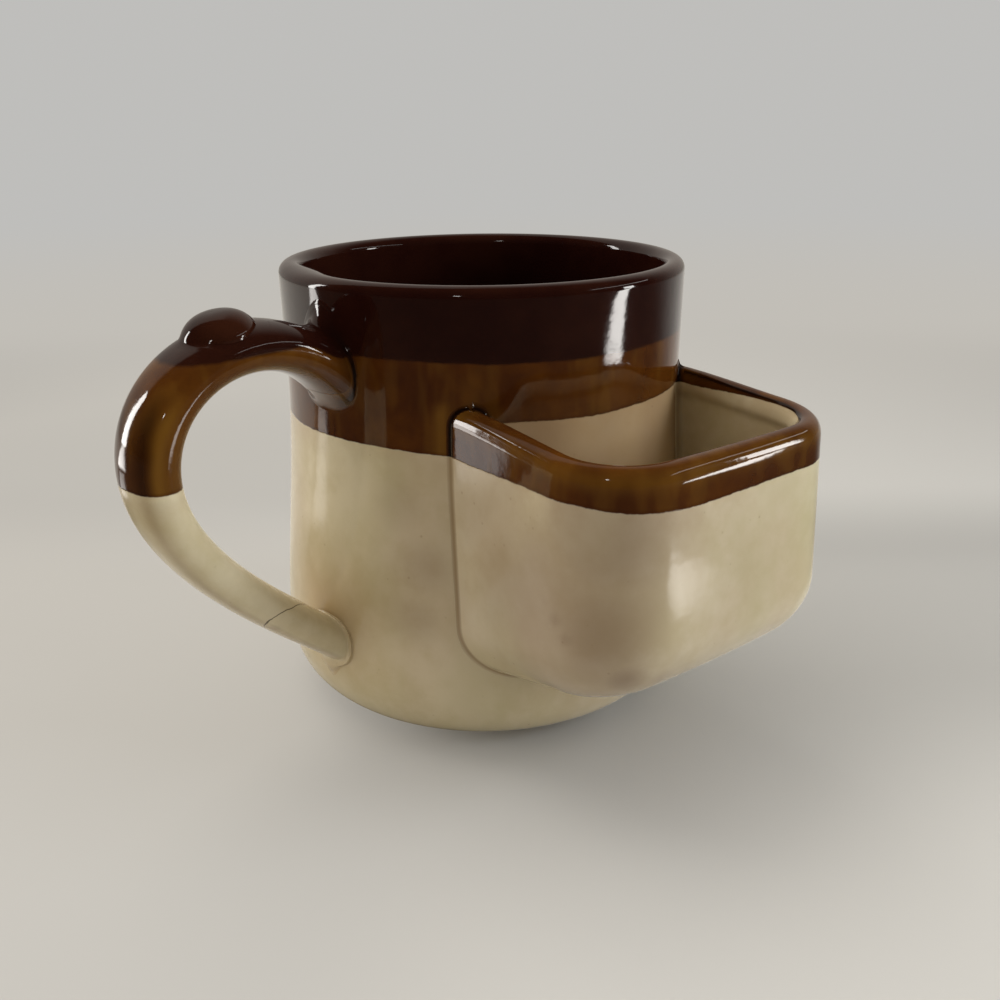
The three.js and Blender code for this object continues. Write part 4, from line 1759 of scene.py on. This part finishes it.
        # The smudge and stain marks also carry painted shade in and beside the pocket.
        smoke_and_shade = sheet.times(sheet.mark(Mark.SMUDGE_AND_SHADE), sheet.step(tint, *self.smoke_and_shade_between))
        ragged = sheet.sum("SUBTRACT", sheet.noise(place, self.crack_cloud), 0.5)
        off = sheet.sum("ADD", sheet.mark(Mark.CRACK), sheet.times(ragged, self.crack_ragged))
        half = self.crack_half_width
        crack = sheet.rest(sheet.step(sheet.sum("ABSOLUTE", off), half / 2, half * 1.5))
        cream = sheet.mix(clouds, colours.cream, colours.cream_pale)
        for factor, colour in (
            (sheet.times(tint, self.pink_share), colours.cream_pink),
            (sheet.times(green, self.green_share), colours.cream_green),
            (sheet.times(fringe, self.fringe_share), colours.cream_pink),
            (sheet.times(sheet.mark(Mark.STAIN_AND_SHADE), self.stain_and_shade_share), colours.tan_stain_and_shade),
            (smoke_and_shade, colours.smudge_and_shade),
            (sheet.times(sheet.mark(Mark.POOL_AND_SHADE), self.seam_share), colours.cream_pool),
            (sheet.times(mottle.outputs["Specks"], self.speck_share), colours.speck),
            (crack, colours.crack),
        ):
            cream = sheet.mix(factor, cream, colour)
        return cream

    def amber(self, sheet: NodeSheet, place: object, mottle: bpy.types.Node, depth: object) -> object:
        """The amber: yellow where thin, red-brown where thick, with faint runs and a dark lower lip.

        Args:
            sheet: The material's sheet.
            place: The point on the mug.
            mottle: The mottle's node.
            depth: How far above its edge the point is.

        Returns:
            The colour's output.
        """
        colours = self.colours
        runs = sheet.noise(sheet.stretched(place, self.run_grain), self.run_cloud)
        lip = sheet.rest(sheet.step(depth, *self.lip_between))
        amber = colours.amber
        for factor, colour in (
            (sheet.times(mottle.outputs["Clouds"], self.thick_share), colours.amber_thick),
            (sheet.times(sheet.step(runs, *self.run_between), self.run_share), colours.amber_thin),
            (sheet.times(sheet.mark(Mark.THIN), sheet.step(runs, *self.thin_between)), colours.amber_thin),
            (sheet.times(lip, self.lip_share), colours.amber_thick),
            (sheet.mark(Mark.POOL_AND_SHADE), colours.pool),
        ):
            amber = sheet.mix(factor, amber, colour)
        return amber

    def brown(self, sheet: NodeSheet, mottle: bpy.types.Node) -> object:
        """The dark brown, a little redder in clouds and where thin, darker where glaze pools, near black
        inside the cup as painted shade.

        Args:
            sheet: The material's sheet.
            mottle: The mottle's node.

        Returns:
            The colour's output.
        """
        colours = self.colours
        redder = sheet.times(mottle.outputs["Clouds"], self.redder_share)
        redder = sheet.sum("ADD", redder, sheet.mark(Mark.THIN), clamp=True)
        brown = sheet.mix(redder, colours.brown, colours.brown_thin)
        # Pooled glaze darkens it; inside the cup the same mark is painted shade.
        return sheet.mix(sheet.mark(Mark.POOL_AND_SHADE), brown, colours.pool)


@dataclass(frozen=True)
class PhotoView:
    """Where the photograph was taken from, measured from the mug.

    The distance is level, from the cup's axis, and the turn is from straight in front of the pocket
    towards the handle.
    """

    distance: float = 0.22415
    height: float = 0.12805
    turn: float = math.radians(36)
    pan: float = math.radians(0.89)
    pitch: float = math.radians(21.19)
    roll: float = math.radians(-0.52)
    lens: float = 36.0
    nearest: float = 0.01
    farthest: float = 50.0

    def matrix(self) -> Matrix:
        """The camera's place and directions.

        Returns:
            A matrix whose columns are right, up, backwards and the camera's place.
        """
        spin = Matrix.Rotation(-self.turn, 3, "Z")
        level = math.cos(self.pitch)
        ahead = Vector((math.sin(self.pan) * level, math.cos(self.pan) * level, -math.sin(self.pitch)))
        right = Vector((math.cos(self.pan), -math.sin(self.pan), 0.0))
        up = right.cross(ahead)
        tilted = math.cos(self.roll) * right + math.sin(self.roll) * up
        upward = -math.sin(self.roll) * right + math.cos(self.roll) * up
        matrix = Matrix([spin @ tilted, spin @ upward, spin @ -ahead]).transposed().to_4x4()
        matrix.translation = spin @ Vector((0.0, -self.distance, self.height))
        return matrix


@dataclass(frozen=True)
class Lamp:
    """A studio lamp: where it stands, seen from a point on the mug, and how it shines.

    The bearing runs clockwise from +Y, seen from above. A card shows only in reflections.
    """

    name: str
    target: Triple
    bearing: float
    elevation: float
    distance: float
    size: Pair
    power: float
    card: bool = True
    colour: Triple = (1.0, 0.98, 0.95)

    def build(self) -> None:
        """Makes the lamp, turned to face its target."""
        light = bpy.data.lights.new(self.name, "AREA")
        light.shape = "RECTANGLE"
        light.size, light.size_y = self.size
        light.energy = self.power
        light.color = self.colour
        lamp = bpy.data.objects.new(self.name, light)
        bearing, elevation = math.radians(self.bearing), math.radians(self.elevation)
        level = math.cos(elevation)
        way = Vector((math.sin(bearing) * level, math.cos(bearing) * level, math.sin(elevation)))
        lamp.location = Vector(self.target) + way * self.distance
        lamp.rotation_euler = way.to_track_quat("Z", "Y").to_euler()
        lamp.visible_camera = False
        lamp.visible_diffuse = not self.card
        lamp.visible_glossy = self.card
        bpy.context.scene.collection.objects.link(lamp)


@dataclass(frozen=True)
class Strip:
    """A patch of light on the floor: where it starts, its bearing, its size and its brightness.

    Its ends fade over the soft length, and its sides over a share of its half width, in and out.
    """

    start: Pair
    bearing: float
    half_width: float
    length: float
    brightness: float
    soft: float
    soft_side: float = 0.3


def level_ways(bearing: float) -> tuple[Triple, Triple]:
    """The level directions ahead and to the right, at a bearing that runs clockwise from +Y."""
    east, north = math.sin(bearing), math.cos(bearing)
    return (east, north, 0.0), (north, -east, 0.0)


# The point on the mug that the soft lamps face.
MIDDLE = (0.0, 0.0, 0.05)


@dataclass(frozen=True)
class Studio:
    """The floor, the light and the camera.

    What the glaze mirrors differs from what lights the mug: a room that is bright on one side and dark
    in front, a floor that is dark in front, and patches of window light on it. A pair of numbers is
    where something starts and where it is complete: a distance, or for the room the share of a
    direction that points to its bright side.
    """

    view: PhotoView = PhotoView()
    lamps: tuple[Lamp, ...] = (
        Lamp("overhead", MIDDLE, -20.0, 62.0, 1.1, (0.9, 0.9), 6.5, False),
        Lamp("window_left", MIDDLE, -75.0, 18.0, 1.1, (0.8, 0.5), 2.4, False),
        Lamp("window_side", MIDDLE, 138.0, 24.0, 1.2, (0.5, 0.6), 9.2, False, (0.98, 1.08, 1.22)),
        Lamp("card_window", (-0.084, -0.013, 0.080), -36.5, 11.8, 1.2, (0.135, 0.64), 2.9),
        Lamp("card_dot", (-0.0799, -0.0188, 0.0812), -136.5, 27.7, 0.40, (0.022, 0.022), 0.03),
        Lamp("card_far", (-0.005, -0.076, 0.072), 127.7, 7.0, 0.60, (0.08, 0.12), 0.40),
        Lamp("card_lip", (0.020, -0.040, 0.097), 132.0, 24.0, 0.50, (0.42, 0.02), 0.10),
    )
    strips: tuple[Strip, ...] = (
        Strip((0.042, -0.170), 127.2, 0.027, 0.052, 5.0, 0.014),
        Strip((0.184, -0.275), 127.2, 0.034, 3.0, 14.0, 0.08),
        Strip((-0.135, 0.125), -43.7, 0.020, 0.13, 1.6, 0.015),
        Strip((-0.225, 0.225), -38.5, 0.035, 1.2, 6.0, 0.04),
    )
    strip_colour: Triple = (1.0, 0.97, 0.93)
    floor_side: float = 6.0
    floor_roughness: float = 0.8
    floor_colour: Triple = (0.520, 0.497, 0.455)
    far_colour: Triple = (0.540, 0.515, 0.470)
    wall_colour: Triple = (0.520, 0.515, 0.500)
    far_between: Pair = (0.12, 0.45)
    wall_between: Pair = (0.30, 1.30)
    left_fill_between: Pair = (-0.015, 0.040)
    left_painted_fill: float = 0.55
    mirrored_floor: Triple = (0.040, 0.035, 0.030)
    mirrored_between: Pair = (0.10, 0.16)
    room_front: Triple = (0.34, 0.315, 0.275)
    room_back: Triple = (1.02, 1.00, 0.97)
    room_between: Pair = (-0.6, 0.5)
    mirrored_front: Triple = (0.014, 0.010, 0.008)
    mirrored_back: Triple = (0.40, 0.365, 0.325)
    bright_side: float = math.radians(31)
    bright_edge: Pair = (0.28, 0.40)
    soft_edge: Pair = (0.12, 0.85)
    soft_aside: Pair = (-0.1, 0.1)
    near_shade: float = 0.30
    near_aside: Pair = (-0.02, 0.035)
    near_starts: Pair = (0.140, 0.215)
    near_ends: Pair = (0.280, 0.345)
    far_shade: float = 0.14
    far_starts: Pair = (0.26, 0.34)
    far_ends: Pair = (0.38, 0.66)

    def build(self) -> None:
        """Sets up everything around the mug."""
        scene = bpy.context.scene
        scene.view_settings.view_transform = "Standard"
        self.camera(scene)
        self.floor()
        self.world(scene)
        for lamp in self.lamps:
            lamp.build()

    def camera(self, scene: bpy.types.Scene) -> None:
        """Puts the camera where the photograph was taken from.

        Args:
            scene: The scene that it looks at.
        """
        data = bpy.data.cameras.new("camera")
        data.lens = self.view.lens
        data.sensor_width = self.view.lens
        data.clip_start = self.view.nearest
        data.clip_end = self.view.farthest
        camera = bpy.data.objects.new("camera", data)
        camera.matrix_world = self.view.matrix()
        scene.collection.objects.link(camera)
        scene.camera = camera

    def floor(self) -> None:
        """Lays a plain pale floor."""
        side = self.floor_side
        mesh = bpy.data.meshes.new("floor")
        corners = [(-side, -side, 0.0), (side, -side, 0.0), (side, side, 0.0), (-side, side, 0.0)]
        mesh.from_pydata(corners, [], [(0, 1, 2, 3)])
        floor = bpy.data.objects.new("floor", mesh)
        bpy.context.scene.collection.objects.link(floor)
        mesh.materials.append(self.floor_paint())

    def floor_paint(self) -> bpy.types.Material:
        """The floor's look.

        The camera sees it fade into a wall with the distance, and shaded behind the mug. Near the mug on
        its
        left, the camera sees it glow evenly: painted light that washes out much of the mug's shadow there.
        The glaze mirrors it dark in front, with the window's light on it.

        Returns:
            The material.
        """
        material = bpy.data.materials.new("floor_paint")
        material.use_nodes = True
        material.node_tree.nodes.clear()
        sheet = NodeSheet(material.node_tree)
        place = sheet.add("ShaderNodeTexCoord").outputs["Object"]
        path = sheet.add("ShaderNodeLightPath")
        seen, mirrored = path.outputs["Is Camera Ray"], path.outputs["Is Glossy Ray"]
        length = sheet.add("ShaderNodeVectorMath", operation="LENGTH")
        sheet.feed(length.inputs[0], place)
        distance = length.outputs["Value"]
        outward = sheet.add("ShaderNodeVectorMath", operation="NORMALIZE")
        sheet.feed(outward.inputs[0], place)
        front = sheet.rest(self.brightened(sheet, outward.outputs["Vector"]))
        dim = sheet.times(front, sheet.step(distance, *self.mirrored_between), mirrored)
        matt = sheet.add("ShaderNodeBsdfPrincipled")
        sheet.feed(matt.inputs["Base Color"], sheet.mix(dim, self.floor_colour, self.mirrored_floor))
        matt.inputs["Roughness"].default_value = self.floor_roughness
        matt.inputs["Specular IOR Level"].default_value = 0.0
        beyond = sheet.step(distance, *self.wall_between)
        far = sheet.glow(sheet.mix(beyond, self.far_colour, self.wall_colour))
        # Painted light: left of the mug the floor glows evenly, washing out the mug's shadow.
        left = tuple(-part for part in level_ways(self.view.turn)[1])
        painted_fill = sheet.times(sheet.step(sheet.measured(place, left), *self.left_fill_between), self.left_painted_fill)
        away = sheet.sum("MAXIMUM", sheet.step(distance, *self.far_between), painted_fill)
        look = sheet.blend(sheet.times(seen, away), matt.outputs["BSDF"], far)
        look = sheet.blend(sheet.times(seen, self.shade(sheet, place)), look, sheet.glow((0.0, 0.0, 0.0)))
        both = sheet.add("ShaderNodeAddShader")
        sheet.feed(both.inputs[0], look)
        shine = sheet.glow(self.strip_colour, sheet.times(mirrored, self.glare(sheet, place)))
        sheet.feed(both.inputs[1], shine)
        output = sheet.add("ShaderNodeOutputMaterial")
        sheet.feed(output.inputs["Surface"], both.outputs[0])
        return material

    def brightened(self, sheet: NodeSheet, way: object) -> object:
        """How far a direction is on the room's bright side, whose edge is softer away from the handle.

        Args:
            sheet: The material's or the world's sheet.
            way: The direction.

        Returns:
            The share's output.
        """
        bright, right = level_ways(self.bright_side)
        behind = sheet.measured(way, bright)
        aside = sheet.step(sheet.measured(way, right), *self.soft_aside)
        sharp, soft = sheet.step(behind, *self.bright_edge), sheet.step(behind, *self.soft_edge)
        return sheet.sum("ADD", sharp, sheet.times(sheet.sum("SUBTRACT", soft, sharp), aside))

    def shade(self, sheet: NodeSheet, place: object) -> object:
        """How much darker the floor looks: on the pocket's far side, and in a band behind the mug.

        Args:
            sheet: The floor's sheet.
            place: The point on the floor.

        Returns:
            The shade's output.
        """
        view = self.view
        ahead, right = level_ways(view.turn + view.pan)
        eye = (-math.sin(view.turn) * view.distance, -math.cos(view.turn) * view.distance)
        on, aside = sheet.measured(place, ahead, eye), sheet.measured(place, right)
        started = sheet.times(sheet.step(on, *self.near_starts), sheet.step(aside, *self.near_aside))
        near = sheet.times(started, sheet.rest(sheet.step(on, *self.near_ends)), self.near_shade)
        far = sheet.times(sheet.step(on, *self.far_starts), sheet.rest(sheet.step(on, *self.far_ends)))
        return sheet.sum("ADD", near, sheet.times(far, self.far_shade))

    def glare(self, sheet: NodeSheet, place: object) -> object:
        """Patches of window light on the floor, which show only in the glaze.

        Args:
            sheet: The floor's sheet.
            place: The point on the floor.

        Returns:
            The brightness's output.
        """
        total: object = 0.0
        for strip in self.strips:
            ahead, right = level_ways(math.radians(strip.bearing))
            along = sheet.measured(place, ahead, strip.start)
            across = sheet.sum("ABSOLUTE", sheet.measured(place, right, strip.start))
            inner, outer = (strip.half_width * (1 + sign * strip.soft_side) for sign in (-1, 1))
            begun = sheet.step(along, 0.0, strip.soft)
            lasting = sheet.rest(sheet.step(along, strip.length - strip.soft, strip.length))
            within = sheet.rest(sheet.step(across, inner, outer))
            total = sheet.sum("ADD", total, sheet.times(begun, lasting, within, strip.brightness))
        return total

    def world(self, scene: bpy.types.Scene) -> None:
        """Lights from all round, and mirrors as a room that is bright on one side and dark in front.

        Args:
            scene: The scene that it lights.
        """
        world = bpy.data.worlds.new("room")
        world.use_nodes = True
        world.node_tree.nodes.clear()
        sheet = NodeSheet(world.node_tree)
        direction = sheet.add("ShaderNodeTexCoord").outputs["Generated"]
        behind = sheet.measured(direction, level_ways(self.bright_side)[0])
        room = sheet.mix(sheet.step(behind, *self.room_between), self.room_front, self.room_back)
        mirrored = sheet.mix(self.brightened(sheet, direction), self.mirrored_front, self.mirrored_back)
        path = sheet.add("ShaderNodeLightPath")
        colour = sheet.mix(path.outputs["Is Glossy Ray"], room, mirrored)
        colour = sheet.mix(path.outputs["Is Camera Ray"], colour, self.wall_colour)
        background = sheet.add("ShaderNodeBackground")
        sheet.feed(background.inputs["Color"], colour)
        background.inputs["Strength"].default_value = 1.0
        output = sheet.add("ShaderNodeOutputWorld")
        sheet.feed(output.inputs["Surface"], background.outputs[0])
        scene.world = world


class Mug:
    """The whole mug: its forms, its pieces and their glaze."""

    rim_below_lip = 0.0226

    def __init__(self) -> None:
        """Takes the driving sizes from the frame."""
        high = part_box("cup_body")[1]
        pocket_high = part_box("biscuit_pocket")[1]
        self.cup_form = CupForm(height=float(high[2]), belly_radius=float(high[0]))
        self.pocket_form = PocketForm(self.cup_form, rim_height=self.cup_form.height - self.rim_below_lip)
        self.handle_form = HandleForm(self.cup_form)
        logger.info("cup %.1f mm high, pocket rim near %.1f mm", high[2] * 1e3, pocket_high[2] * 1e3)

    def pieces(self) -> list[ClayPiece]:
        """The mug's pieces.

        Returns:
            Each piece, with its own name, its node and its slot.
        """
        cup, pocket, handle = self.cup_form, self.pocket_form, self.handle_form
        upper = Fillet(
            on_cup=0.0007, on_neighbour=0.0012, top_on_cup=0.0066, top_on_neighbour=0.0060,
            bottom_on_cup=0.0010, bottom_on_neighbour=0.0034, web_spread=0.60,
        )
        lower = Fillet(
            on_cup=0.0010, on_neighbour=0.0012, top_on_cup=0.0034, top_on_neighbour=0.0014,
            bottom_on_cup=-0.0005, bottom_on_neighbour=0.0003, web_spread=0.34, welt=0.0007,
        )
        outer = Fillet(on_cup=0.0009, on_neighbour=0.0008)
        inner = Fillet(on_cup=0.0016, on_neighbour=0.0016)
        return [
            Cup("cup", "cup_body", Slot.CREAM, cup, pocket, handle),
            BiscuitPocket("pocket_shell", "biscuit_pocket", Slot.CREAM, pocket),
            Handle("handle_strap", "handle", Slot.AMBER, handle),
            ThumbRest("thumb_knob", "thumb_rest", Slot.BROWN, handle),
            HandleJoint("root_clay", "handle_upper_joint", Slot.BROWN, handle, True, upper),
            HandleJoint("foot_clay", "handle_lower_joint", Slot.CREAM, handle, False, lower),
            PocketJoint("pocket_outer_clay", "pocket_outer_joint", Slot.CREAM, pocket, False, outer),
            PocketJoint("pocket_inner_clay", "pocket_inner_joint", Slot.CREAM, pocket, True, inner),
        ]

    def build(self) -> None:
        """Builds every piece under one glaze."""
        glaze = Glaze("dipped_glaze").build(SharedGroups())
        for piece in self.pieces():
            piece.dress(glaze)


def main() -> None:
    """Builds the studio and the mug."""
    logging.basicConfig(level=logging.INFO, format="%(name)s: %(message)s")
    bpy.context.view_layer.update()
    Studio().build()
    Mug().build()


if __name__ == "__main__":
    main()
